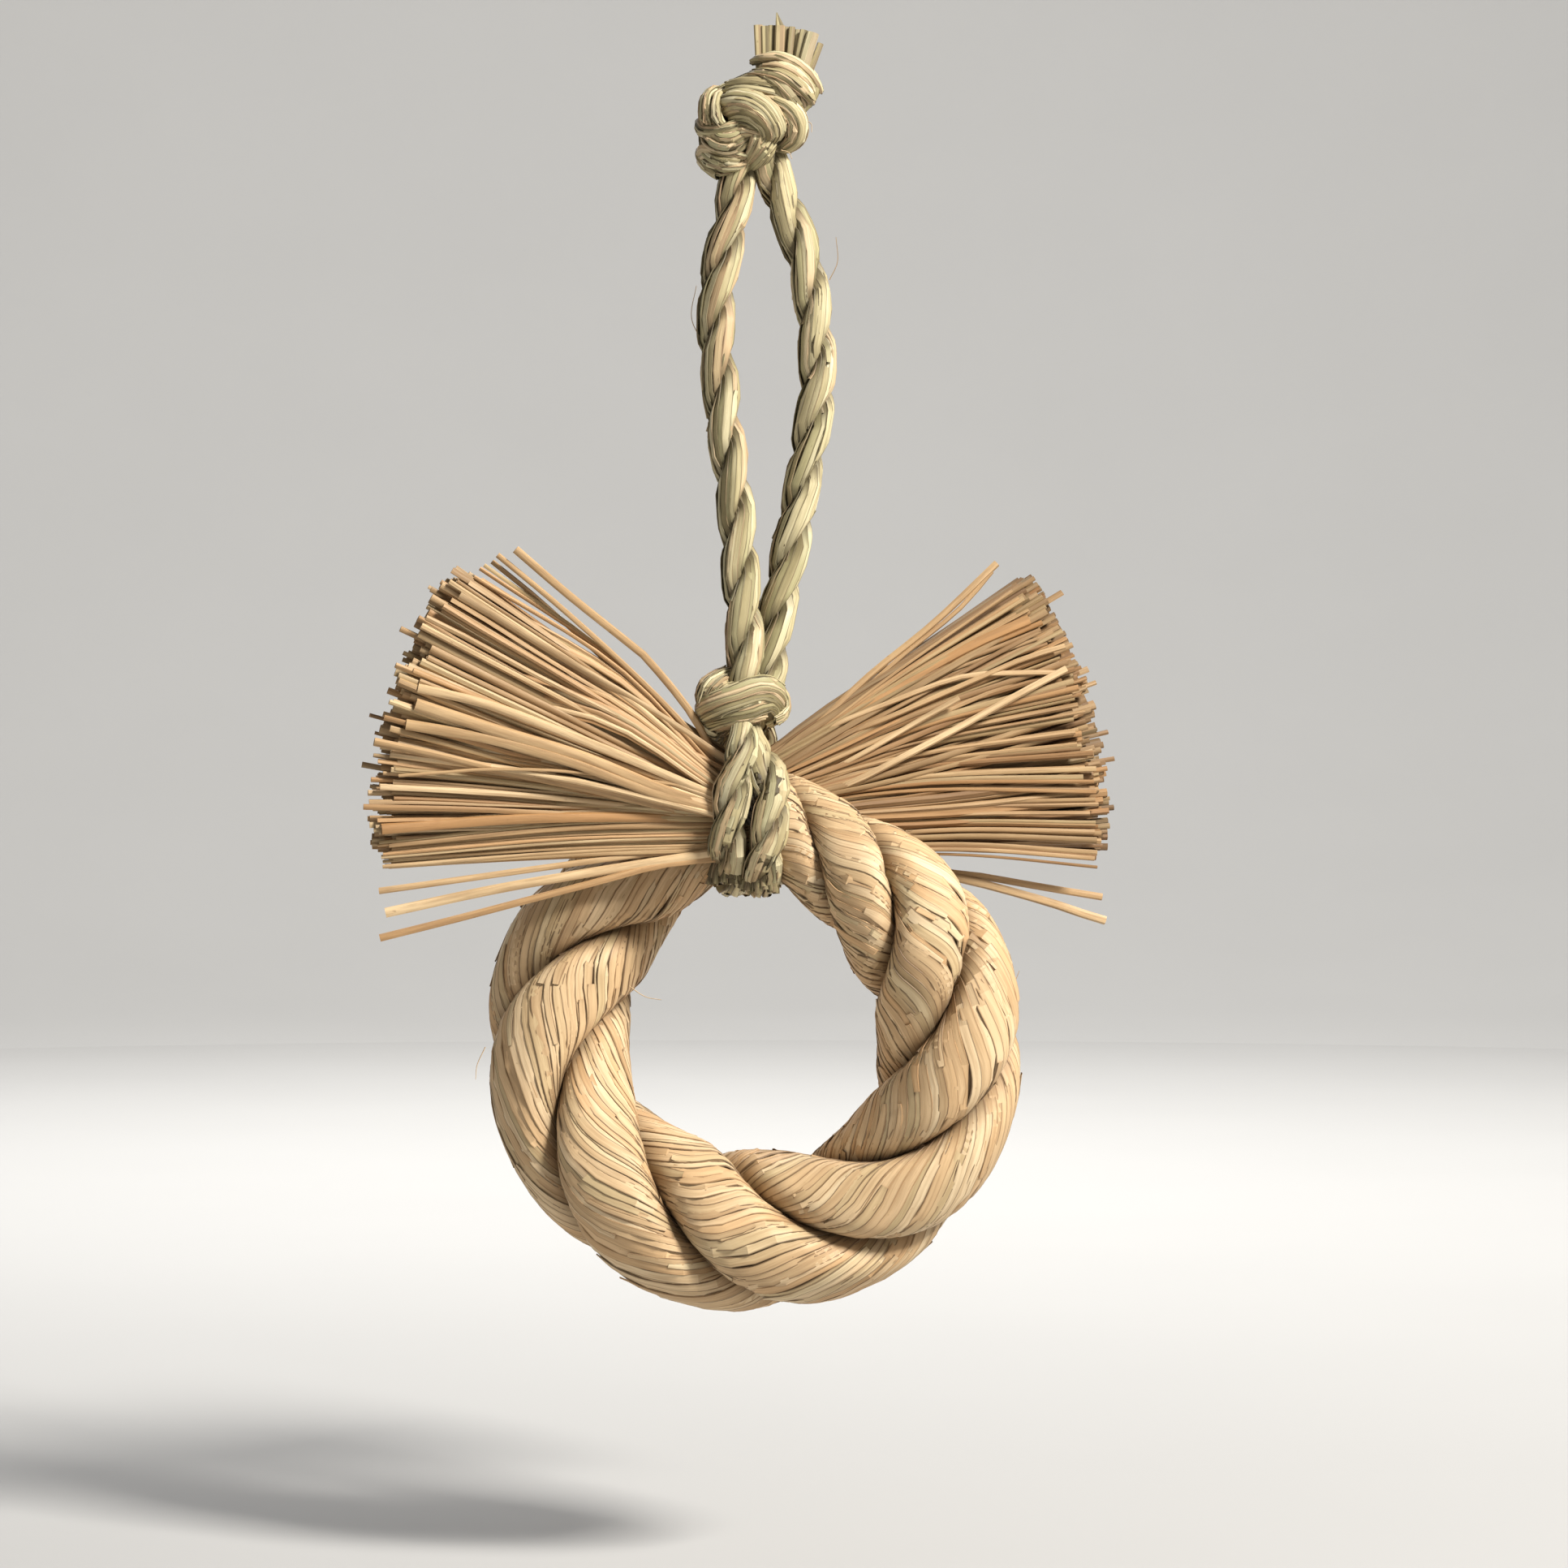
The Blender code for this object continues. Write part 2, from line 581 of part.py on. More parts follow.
class Brush:
    """One fanned brush of straw ends: side is -1 for the left and front one, 1 for the other."""

    def __init__(self, rope, side, seed):
        self.side = side
        self.lean = math.radians(END_LEAN)
        self.root_half = END_HEIGHT / 2
        self.tip_half = BRUSH_TIP_HEIGHT / 2
        self.root_reach = self.root_half * BRUSH_LENGTH / (self.tip_half - self.root_half)
        self.half_angle = math.atan2(self.root_half, self.root_reach)
        bow = self.root_reach * (1 - math.cos(self.half_angle))
        start = rope.end(side) + self.heading(0) * (END_CLEARANCE + bow)
        self.focus = start - self.heading(0) * self.root_reach
        self.random = random.Random(seed)

    def heading(self, fan):
        """The direction of a straw: fan runs from -1 at the lower edge to 1 at the upper one."""
        angle = self.lean + (self.half_angle * fan if fan else 0)
        return Vector((self.side * math.cos(angle), 0, math.sin(angle)))

    def place(self, out, fan, layer):
        """A point at a distance out from the rope's end, across the fan and through its depth."""
        middle = END_DEPTH / 2 + TOUCH_GAP / 2 + BRUSH_BACK_LEAN * out
        point = self.focus + self.heading(fan) * (self.root_reach + out)
        return point + Vector((0, self.side * (middle + layer * self.half_depth(out)), 0))

    def half_depth(self, out):
        """Half the brush's depth at a distance out from the rope's end."""
        return (END_DEPTH + (BRUSH_TIP_DEPTH - END_DEPTH) * out / BRUSH_LENGTH) / 2

    def body(self):
        """The gathered straws, ridged all round, up to where the ends come free."""
        rings = []
        for k in range(BRUSH_STATIONS):
            out = BRUSH_BODY_LENGTH * k / (BRUSH_STATIONS - 1)
            ridge = RIDGE_DEPTH_AT_ROOT + (RIDGE_DEPTH_AT_TIP - RIDGE_DEPTH_AT_ROOT) * out / BRUSH_LENGTH
            ring = []
            for face in (1, -1):
                for i in range(2 * STRAW_RIDGES):
                    fan = face * (1 - i / STRAW_RIDGES)
                    groove = 0 if i % 2 else ridge / self.half_depth(out)
                    rise = max(BRUSH_EDGE_RISE, math.sqrt(1 - fan**4))
                    ring.append(self.place(out, fan, face * max(0.0, rise - groove * rise)))
            rings.append(ring)
        return loft("brush_body", rings, laddered=True)

    def loose_ends(self):
        """The free ends of the straws, in rows through the brush's depth."""
        stalks = []
        for count, layer, width in LOOSE_END_ROWS:
            for i in range(count):
                fan = width * (2 * i / (count - 1) - 1)
                reach = BRUSH_LENGTH * self.random.uniform(*LOOSE_END_REACH)
                start = self.place(BRUSH_BODY_LENGTH - LOOSE_END_ROOT, fan, layer)
                stop = self.place(reach, fan * LOOSE_END_SPLAY, layer * LOOSE_END_SPLAY)
                radius = LOOSE_END_RADIUS
                stalks.append(rod("loose_end", start, stop, radius, radius, LOOSE_END_SIDES))
        return stalks

    def strays(self, chosen, collection):
        """The few bent stalks that stand out of the fan."""
        stalks = []
        for leave, stop in (map(Vector, stops) for stops in chosen):
            knee = leave.lerp(stop, STRAY_KNEE)
            line = [self.place(BRUSH_LENGTH * out, fan, STRAY_LAYER) for out, fan in (leave, knee, stop)]
            stalks.append(tube_mesh("stray", line, STRAY_RADIUS, collection))
        return stalks

    def meshes(self, chosen, collection):
        """All that the brush is fused from."""
        return [self.body(), *self.loose_ends(), *self.strays(chosen, collection)]


def leg_lines(route):
    """A leg's line in three stretches: its root in the top knot, the free leg, its foot."""
    points = in_metres(route)
    line = smooth_route(points, round(route_length(points) / CORD_POINT_STEP) + 1)
    top, foot = (line[0] + line[1]) / 2, (line[-2] + line[-1]) / 2
    gap_in = (line[1] - line[0]).normalized() * TOUCH_GAP / 2
    gap_out = (line[-1] - line[-2]).normalized() * TOUCH_GAP / 2
    leg = [top + gap_in, *line[1:-1], foot - gap_out]
    return [line[0], top - gap_in], leg, [foot + gap_out, line[-1]]


def band(centre, half_width, route):
    """A flat band of straws over a knot, thinner at its two ends."""
    line = smooth_route(in_metres(route), BAND_STEPS)
    rings = []
    for k, (point, (side, out)) in enumerate(zip(line, facing_frames(line, centre))):
        share = k / (len(line) - 1)
        width = half_width * MM * (0.7 + 0.3 * math.sin(math.pi * share) ** 0.5)
        ring = []
        for i in range(BAND_SIDES):
            angle = 2 * math.pi * (i + 0.5) / BAND_SIDES
            across, outward = math.cos(angle), math.sin(angle) * BAND_FLATNESS
            ring.append(point + (side * across + out * outward) * width)
        rings.append(ring)
    return loft("band", rings)


def core(centre, size):
    """The knot's hidden heart, an egg-shaped body."""
    shape = bmesh.new()
    bmesh.ops.create_icosphere(shape, subdivisions=1, radius=1)
    for vert in shape.verts:
        vert.co = centre + Vector([vert.co[axis] * size[axis] * MM for axis in range(3)])
    mesh = bpy.data.meshes.new("core")
    shape.to_mesh(mesh)
    shape.free()
    return mesh


def cut_end(foot, tip, half_width, half_thickness):
    """One cut straw above the top knot."""
    start, stop = in_metres((foot, tip))
    return rod("cut_end", start, stop, half_width * MM, half_thickness * MM, BAND_SIDES)


def frayed_end(foot):
    """A cord's cut end, a short pleated fan that widens downwards."""
    middle = Vector(foot) * MM
    rings = []
    for k in range(3):
        share = k / 2
        width = FRAY_TOP_WIDTH + (FRAY_WIDTH - FRAY_TOP_WIDTH) * share
        ring = []
        for i in range(2 * FRAY_PLEATS):
            angle = math.pi * i / FRAY_PLEATS
            pleat = 1 - (FRAY_PLEAT_DEPTH * share if i % 2 else 0)
            across = width / 2 * math.cos(angle) * pleat
            through = FRAY_DEPTH / 2 * math.sin(angle) * pleat
            ring.append(middle + Vector((across, through, -FRAY_HEIGHT * share)))
        rings.append(ring)
    return loft("frayed_end", rings)


def wrap(name, route, bundle_centre, fray, start_turn):
    """One turn of the cord round the crossed rope ends, flattened against them."""
    points = in_metres(route)
    line = smooth_route(points, round(route_length(points) / WRAP_STEP) + 1)
    radii = []
    for k in range(len(line)):
        grown = smooth_step(k * WRAP_STEP / WRAP_START_LENGTH)
        radii.append(CORD_DIAMETER / 2 * (WRAP_START_SHARE + (1 - WRAP_START_SHARE) * grown))
    frames = facing_frames(line, bundle_centre)
    return [laid_cord(name, line, frames, CORD_PITCH, radii, WRAP_FLATNESS, start_turn), frayed_end(fray)]


def build():
    """Models the whole wreath."""
    clear_scene()
    wreath = bpy.data.collections.new("new_year_wreath")
    bpy.context.scene.collection.children.link(wreath)
    ring_straw = finish("ring_straw", RING_STRAW)
    brush_straw = finish("brush_straw", BRUSH_STRAW)
    cord_straw = finish("cord_straw", CORD_STRAW)

    rope = Rope()
    for index in range(STRAND_COUNT):
        name = f"ring_strand_{index + 1}"
        object_of(name, rope.strand(name, index), wreath, ring_straw)
    fuse("brush_left", Brush(rope, -1, 5).meshes(LEFT_STRAYS, wreath), wreath, brush_straw)
    fuse("brush_right", Brush(rope, 1, 9).meshes(RIGHT_STRAYS, wreath), wreath, brush_straw)

    radius = CORD_DIAMETER / 2
    roots, feet = [], []
    for name, route in (("cord_leg_left", LEFT_LEG_ROUTE), ("cord_leg_right", RIGHT_LEG_ROUTE)):
        root, leg, foot = leg_lines(route)
        tube(name, leg, radius, wreath).data.materials.append(cord_straw)
        roots.append(tube_mesh("leg_root", root, radius, wreath))
        feet.append(tube_mesh("leg_foot", foot, radius, wreath))

    top_centre = Vector(TOP_KNOT_CENTRE) * MM
    top = [core(top_centre, TOP_KNOT_CORE), *roots]
    top += [band(top_centre, *shape) for shape in TOP_KNOT_BANDS]
    top += [cut_end(*shape) for shape in CUT_ENDS]
    fuse("top_knot", top, wreath, cord_straw)

    lower_centre = Vector(LOWER_KNOT_CENTRE) * MM
    lower = [core(lower_centre, LOWER_KNOT_CORE), *feet]
    lower += [band(lower_centre, *shape) for shape in LOWER_KNOT_BANDS]
    fuse("lower_knot", lower, wreath, cord_straw)

    fuse("tie_wrap_left", wrap("wrap", LEFT_WRAP_ROUTE, rope.tie, FRAY_LEFT, 0.3), wreath, cord_straw)
    fuse("tie_wrap_right", wrap("wrap", RIGHT_WRAP_ROUTE, rope.tie, FRAY_RIGHT, 1.2), wreath, cord_straw)


build()
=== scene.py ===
"""Dresses a small straw new year wreath: a laid-rope ring with crossed ends and two brushes,
bound and hung by a straw cord. Metres, +Z up, front towards -Y, origin at the hang point."""

import logging
import math
import random
from collections.abc import Callable
from dataclasses import dataclass, field
from enum import Enum

import bpy
import numpy as np
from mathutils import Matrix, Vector

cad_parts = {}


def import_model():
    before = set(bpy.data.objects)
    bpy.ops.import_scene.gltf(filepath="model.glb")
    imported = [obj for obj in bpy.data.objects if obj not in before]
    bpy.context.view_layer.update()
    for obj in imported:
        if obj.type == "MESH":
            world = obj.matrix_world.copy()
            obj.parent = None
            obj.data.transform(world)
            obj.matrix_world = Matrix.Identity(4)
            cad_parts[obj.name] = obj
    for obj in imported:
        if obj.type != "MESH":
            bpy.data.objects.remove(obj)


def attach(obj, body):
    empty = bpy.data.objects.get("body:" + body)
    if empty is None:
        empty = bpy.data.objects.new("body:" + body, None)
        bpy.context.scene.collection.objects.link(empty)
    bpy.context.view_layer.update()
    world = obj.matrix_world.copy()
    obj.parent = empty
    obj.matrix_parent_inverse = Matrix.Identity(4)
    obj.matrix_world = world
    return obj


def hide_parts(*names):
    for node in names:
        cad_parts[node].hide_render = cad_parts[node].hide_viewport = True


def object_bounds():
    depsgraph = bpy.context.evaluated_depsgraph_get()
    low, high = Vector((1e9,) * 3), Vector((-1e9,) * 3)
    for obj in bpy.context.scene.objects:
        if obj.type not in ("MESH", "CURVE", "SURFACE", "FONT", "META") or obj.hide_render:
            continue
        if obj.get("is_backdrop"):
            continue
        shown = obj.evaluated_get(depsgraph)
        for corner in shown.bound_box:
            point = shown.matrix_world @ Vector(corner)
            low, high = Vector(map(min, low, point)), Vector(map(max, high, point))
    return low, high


LOG = logging.getLogger("wreath")
MM = 0.001
FRONT = np.array((0.0, -1.0, 0.0))
GOLDEN_SHARE = 0.618034
PLAIN_TONE = (0.5, 0.5, 1.0)

# A point of the photograph in its own pixels becomes a place on the wreath's middle plane.
PIXEL = 0.18825 * MM
PHOTO_SIZE = 1932
HANG_PIXEL = (932, 225)
MIDDLE_PIXEL = (966, 966)
LENS, SENSOR = 85.0, 36.0
CAMERA_DISTANCE = PHOTO_SIZE * PIXEL * LENS / SENSOR


class Slot(Enum):
    """The material slots of the part."""

    RING = "ring_straw"
    BRUSH = "brush_straw"
    CORD = "cord_straw"


def at_pixel(across: float, down: float, depth: float) -> np.ndarray:
    """A place on the wreath that the photograph shows at a pixel.

    Args:
        across: the pixel's column.
        down: the pixel's row.
        depth: how far before the middle plane the place lies, in metres.

    Returns:
        The place, in metres.
    """
    nearer = 1 - depth / CAMERA_DISTANCE
    across = MIDDLE_PIXEL[0] - HANG_PIXEL[0] + (across - MIDDLE_PIXEL[0]) * nearer
    down = MIDDLE_PIXEL[1] - HANG_PIXEL[1] + (down - MIDDLE_PIXEL[1]) * nearer
    return np.array((across * PIXEL, -depth, -down * PIXEL))


def traced(pixels: tuple, count: int) -> np.ndarray:
    """A smooth line through places of the photograph.

    Args:
        pixels: each place's column, row and depth in millimetres before the middle plane.
        count: how many points are wanted.

    Returns:
        The line's points.
    """
    return smooth_line(np.array([at_pixel(x, y, depth * MM) for x, y, depth in pixels]), count)


def unit(vectors: np.ndarray) -> np.ndarray:
    """The vectors, each cut to length one."""
    return vectors / np.maximum(np.linalg.norm(vectors, axis=-1, keepdims=True), 1e-12)


def smooth_step(share: np.ndarray | float) -> np.ndarray:
    """Rises smoothly from 0 to 1 as share does."""
    share = np.clip(share, 0, 1)
    return share * share * (3 - 2 * share)


def distances(line: np.ndarray) -> np.ndarray:
    """How far along a line each of its points lies."""
    return np.concatenate(([0], np.cumsum(np.linalg.norm(np.diff(line, axis=0), axis=1))))


def resample(line: np.ndarray, count: int) -> np.ndarray:
    """Evenly spaced points of a line.

    Args:
        line: the line's points.
        count: how many points are wanted.

    Returns:
        The points.
    """
    along = distances(line)
    want = np.linspace(0, along[-1], count)
    return np.stack([np.interp(want, along, line[:, axis]) for axis in range(3)], axis=1)


def smooth_line(points: np.ndarray, count: int) -> np.ndarray:
    """A smooth line through chosen points.

    Args:
        points: the chosen points.
        count: how many evenly spaced points are wanted.

    Returns:
        The line's points.
    """
    ends = np.vstack((2 * points[0] - points[1], points, 2 * points[-1] - points[-2]))
    t = np.linspace(0, 1, 16, endpoint=False)[:, None]
    fine = []
    for before, start, stop, after in zip(ends, ends[1:], ends[2:], ends[3:]):
        fine.append(
            start
            + 0.5 * t * (stop - before)
            + t * t * (before - 2.5 * start + 2 * stop - 0.5 * after)
            + 0.5 * t**3 * (3 * (start - stop) + after - before)
        )
    return resample(np.vstack((*fine, points[-1:])), count)


def directions(line: np.ndarray) -> np.ndarray:
    """The unit direction of a line at each of its points."""
    return unit(np.gradient(line, axis=0))


@dataclass
class StrawMesh:
    """Gathers many straws into one mesh, with each straw's tone and painted shade on its points."""

    points: list = field(default_factory=list)
    faces: list = field(default_factory=list)
    uvs: list = field(default_factory=list)
    tones: list = field(default_factory=list)
    count: int = 0

    def grid(
        self, rows: np.ndarray, tone: tuple, closed: bool = False, shade: np.ndarray | float = 1.0
    ) -> None:
        """Adds a sheet of quads, open or closed into a tube.

        Args:
            rows: points of shape (rows, columns, 3).
            tone: the straw's lightness, its hue and how far out it lies as painted shade, each from 0 to 1.
            closed: whether the last column joins the first.
            shade: how open to the light each row lies, from 0 to 1.
        """
        length, width = rows.shape[:2]
        along = distances(rows.mean(axis=1))
        index = self.count + np.arange(length * width).reshape(length, width)
        columns = np.arange(width if closed else width - 1)
        across = (columns + 1) % width
        low, high = index[:-1], index[1:]
        quads = np.stack((low[:, columns], low[:, across], high[:, across], high[:, columns]), axis=-1)
        share = np.stack((columns, columns + 1), axis=1) / max(1, width - 1)
        u = np.broadcast_to(share[:, [0, 1, 1, 0]], quads.shape)
        v = np.stack((along[:-1], along[:-1], along[1:], along[1:]), axis=1)[:, None, :]
        uv = np.stack((u, np.broadcast_to(v, quads.shape)), axis=-1)
        self.points.append(rows.reshape(-1, 3))
        self.faces.append(quads.reshape(-1, 4))
        self.uvs.append(uv.reshape(-1, 2))
        tones = np.tile((*tone, 1.0), (length, width, 1))
        tones[..., 2] *= np.broadcast_to(shade, (length,))[:, None]
        self.tones.append(tones.reshape(-1, 4))
        self.count += length * width

    def cap(self, rim: np.ndarray, tip: np.ndarray, tone: tuple[float, float, float]) -> None:
        """Closes a tube's end with a shallow cone.

        Args:
            rim: the end's points.
            tip: the cone's point.
            tone: as for a grid.
        """
        ring = np.stack((rim, np.broadcast_to(tip, rim.shape)), axis=0)
        self.grid(ring, tone, closed=True)

    def build(self, name: str, finish: bpy.types.Material, sharp: float = 40) -> bpy.types.Object:
        """Makes the object.

        Args:
            name: the object's name.
            finish: its material.
            sharp: the angle in degrees past which an edge stays sharp.

        Returns:
            The object, in the scene.
        """
        points = np.vstack(self.points).astype(np.float32)
        faces = np.vstack(self.faces).astype(np.int32)
        mesh = bpy.data.meshes.new(name)
        mesh.vertices.add(len(points))
        mesh.vertices.foreach_set("co", points.ravel())
        mesh.loops.add(faces.size)
        mesh.loops.foreach_set("vertex_index", faces.ravel())
        mesh.polygons.add(len(faces))
        mesh.polygons.foreach_set("loop_start", np.arange(0, faces.size, 4, dtype=np.int32))
        run = mesh.uv_layers.new(name="straw_run")
        run.data.foreach_set("uv", np.vstack(self.uvs).astype(np.float32).ravel())
        tones = mesh.color_attributes.new("straw_tone", "FLOAT_COLOR", "POINT")
        tones.data.foreach_set("color", np.vstack(self.tones).astype(np.float32).ravel())
        mesh.update(calc_edges=True)
        mesh.validate()
        mesh.shade_smooth()
        mesh.set_sharp_from_angle(angle=math.radians(sharp))
        mesh.materials.append(finish)
        thing = bpy.data.objects.new(name, mesh)
        bpy.context.scene.collection.objects.link(thing)
        return thing


@dataclass
class Skin:
    """The skin of a strand, ply or bundle that runs along a route."""

    line: np.ndarray
    outward: np.ndarray
    front: np.ndarray
    phase: np.ndarray
    height: np.ndarray
    depth: np.ndarray
    reach: float
    thickness: float
    width: float
    # How strongly painted shade darkens the skin between the strands.
    painted_valley_shade: float = 0.0
    crisp: np.ndarray | float = 0.0

    # Painted shade between the strands: full within this share of the skin's farthest reach from the rope's
    # middle, gone past it plus the fade.
    DARK_REACH = 0.6
    DARK_FADE = 0.33

    def __post_init__(self) -> None:
        """Measures the route."""
        self.stations = distances(self.line)
        self.crisp = np.broadcast_to(self.crisp, self.stations.shape)
        self.length = float(self.stations[-1])

    def read(self, values: np.ndarray, along: np.ndarray) -> np.ndarray:
        """Values kept at the stations, read at any distance along.

        Args:
            values: one number or vector a station.
            along: the distances.

        Returns:
            The values there.
        """
        if values.ndim == 1:
            return np.interp(along, self.stations, values)
        return np.stack([np.interp(along, self.stations, values[:, k]) for k in range(3)], axis=-1)

    def point(self, along: np.ndarray, away: np.ndarray, round_: np.ndarray) -> np.ndarray:
        """Points beside the route.

        Args:
            along: distances along the route.
            away: distances out from its middle, through the strand.
            round_: distances across the strand.

        Returns:
            The points.
        """
        phase = self.read(self.phase, along)
        up = (away * np.cos(phase) - round_ * np.sin(phase)) * self.read(self.height, along)
        out = (away * np.sin(phase) + round_ * np.cos(phase)) * self.read(self.depth, along)
        raised = self.read(self.line, along) + self.read(self.outward, along) * up[..., None]
        return raised + self.read(self.front, along) * out[..., None]

    def girth(self, along: np.ndarray) -> np.ndarray:
        """The strand's mean radius at distances along the route."""
        high = self.thickness * self.read(self.height, along)
        return (high + self.width * self.read(self.depth, along)) / 2

    def shade(self, angle: np.ndarray) -> np.ndarray:
        """How open to the light the skin is at angles round the strand: least between the strands."""
        away = self.reach + self.thickness * np.cos(angle)
        out = np.hypot(away, self.width * np.sin(angle)) / (self.reach + self.thickness)
        return 1 - self.painted_valley_shade * (1 - smooth_step((out - self.DARK_REACH) / self.DARK_FADE))

    def at(self, along: np.ndarray, angle: np.ndarray) -> np.ndarray:
        """Points of the skin at distances along the route and angles round the strand."""
        away = self.reach + self.thickness * np.cos(angle)
        return self.point(along, away, self.width * np.sin(angle))

    def core(self, mesh: StrawMesh, shrink: float, step: float, sides: int, tone: tuple) -> None:
        """Adds the heart under the straws, painted dark as the shade that shows in the gaps between them.

        Args:
            mesh: where it goes.
            shrink: its size as a share of the skin's.
            step: the distance between its rings.
            sides: how many sides a ring has.
            tone: its tone.
        """
        along = np.linspace(0, self.length, max(3, round(self.length / step)))[:, None]
        angle = np.linspace(0, 2 * math.pi, sides, endpoint=False)[None, :]
        along, angle = np.broadcast_arrays(along, angle)
        away = self.reach + shrink * self.thickness * np.cos(angle)
        mesh.grid(self.point(along, away, shrink * self.width * np.sin(angle)), tone, closed=True)


@dataclass
class Straw:
    """How one flat straw lies on a skin."""

    width: float
    crown: float = 0.00009
    lift: float = 0.0
    tilt: float = 0.0
    tone: tuple = PLAIN_TONE
    tuck: float = 0.00022
    turned_up: float = 0.0

    PROFILE = ((-1.0, -1.0), (-0.9, 0.3), (0.0, 1.0), (0.9, 0.3), (1.0, -1.0))

    def lay(self, mesh: StrawMesh, skin: Skin, along: np.ndarray, angle: np.ndarray) -> None:
        """Lays the straw on a skin along a path.

        Args:
            mesh: where it goes.
            skin: what it lies on.
            along: the path's distances along the skin's route.
            angle: the path's angles round the strand.
        """
        centre = skin.at(along, angle)
        side = skin.at(along, angle + 0.02) - skin.at(along, angle - 0.02)
        ahead = directions(centre)
        normal = unit(np.cross(ahead, side))
        middle = skin.point(along, np.full_like(along, skin.reach), np.zeros_like(along))
        if np.mean(np.sum(normal * (centre - middle), axis=1)) < 0:
            normal = -normal
        across = unit(np.cross(normal, ahead))
        ends = np.minimum(np.arange(len(along)), np.arange(len(along))[::-1])
        taper = 0.7 + 0.3 * np.minimum(1, ends / 2)
        raised = self.lift + self.turned_up * (ends == 0)
        bulge = (self.width / 2) ** 2 / (2 * skin.girth(along)) * 0.6
        rows = []
        for place, rise in self.PROFILE:
            height = raised + self.tilt * place + (self.crown * rise if rise > 0 else -self.tuck)
            height = height - bulge * place**2
            shift = across * (place * self.width / 2 * taper)[:, None]
            rows.append(centre + shift + normal * height[:, None])
        mesh.grid(np.stack(rows, axis=1), self.tone, shade=skin.shade(angle))


@dataclass
class Stalk:
    """One round or flattened stalk, its tip closed by a cut end painted darker as shade."""

    radius: float
    flatness: float = 1.0
    sides: int = 6
    roll: float = 0.0
    taper: float = 1.0
    tone: tuple = PLAIN_TONE

    def run(self, mesh: StrawMesh, line: np.ndarray) -> None:
        """Runs the stalk along a line.

        Args:
            mesh: where it goes.
            line: the line's points, root first.
        """
        ahead = directions(line)
        side = unit(np.cross(ahead, FRONT + 0.01))
        other = np.cross(side, ahead)
        angle = np.linspace(0, 2 * math.pi, self.sides, endpoint=False)
        wide = np.cos(angle)[None, :, None]
        thick = np.sin(angle)[None, :, None] * self.flatness
        first = side * math.cos(self.roll) + other * math.sin(self.roll)
        second = other * math.cos(self.roll) - side * math.sin(self.roll)
        size = (self.radius * np.linspace(1, self.taper, len(line)))[:, None, None]
        rings = line[:, None, :] + size * (first[:, None, :] * wide + second[:, None, :] * thick)
        mesh.grid(rings, self.tone, closed=True)
        # The cut end is painted darker as shade.
        dark = (self.tone[0] * 0.9, self.tone[1], 0.7)
        mesh.cap(rings[-1], line[-1] - ahead[-1] * self.radius * 0.5, dark)


def operator(operation: str, swapped: bool = False) -> Callable:
    """Makes the method behind one of a wire's operators.

    Args:
        operation: the Math node's operation.
        swapped: whether the other value comes first.

    Returns:
        The method.
    """

    def method(wire: "Wire", other: object) -> "Wire":
        """The operation's result."""
        return wire.maths(operation, *((other, wire) if swapped else (wire, other)))

    return method


class Wire:
    """A node socket that takes part in sums."""

    def __init__(self, tree: bpy.types.NodeTree, socket: bpy.types.NodeSocket) -> None:
        """Keeps the socket."""
        self.tree = tree
        self.socket = socket

    def maths(self, operation: str, first: object, second: object) -> "Wire":
        """A Math node on two values.

        Args:
            operation: the node's operation.
            first: a wire or a number.
            second: a wire or a number.

        Returns:
            The result.
        """
        node = self.tree.nodes.new("ShaderNodeMath")
        node.operation = operation
        for socket, value in zip(node.inputs, (first, second)):
            if isinstance(value, Wire):
                self.tree.links.new(value.socket, socket)
            else:
                socket.default_value = value
        return Wire(self.tree, node.outputs[0])

    __add__, __radd__ = operator("ADD"), operator("ADD", True)
    __sub__, __rsub__ = operator("SUBTRACT"), operator("SUBTRACT", True)
    __mul__, __rmul__ = operator("MULTIPLY"), operator("MULTIPLY", True)

    def near(self, other: object) -> "Wire":
        """How far the value is from another."""
        return self.maths("ABSOLUTE", self - other, 0.0)

    def ramp(self, low: float, high: float) -> "Wire":
        """Rises from 0 to 1 between two values.

        Args:
            low: where it starts.
            high: where it ends.

        Returns:
            The rise.
        """
        node = self.tree.nodes.new("ShaderNodeMapRange")
        node.interpolation_type = "SMOOTHSTEP"
        self.tree.links.new(self.socket, node.inputs[0])
        node.inputs[1].default_value = low
        node.inputs[2].default_value = high
        return Wire(self.tree, node.outputs[0])


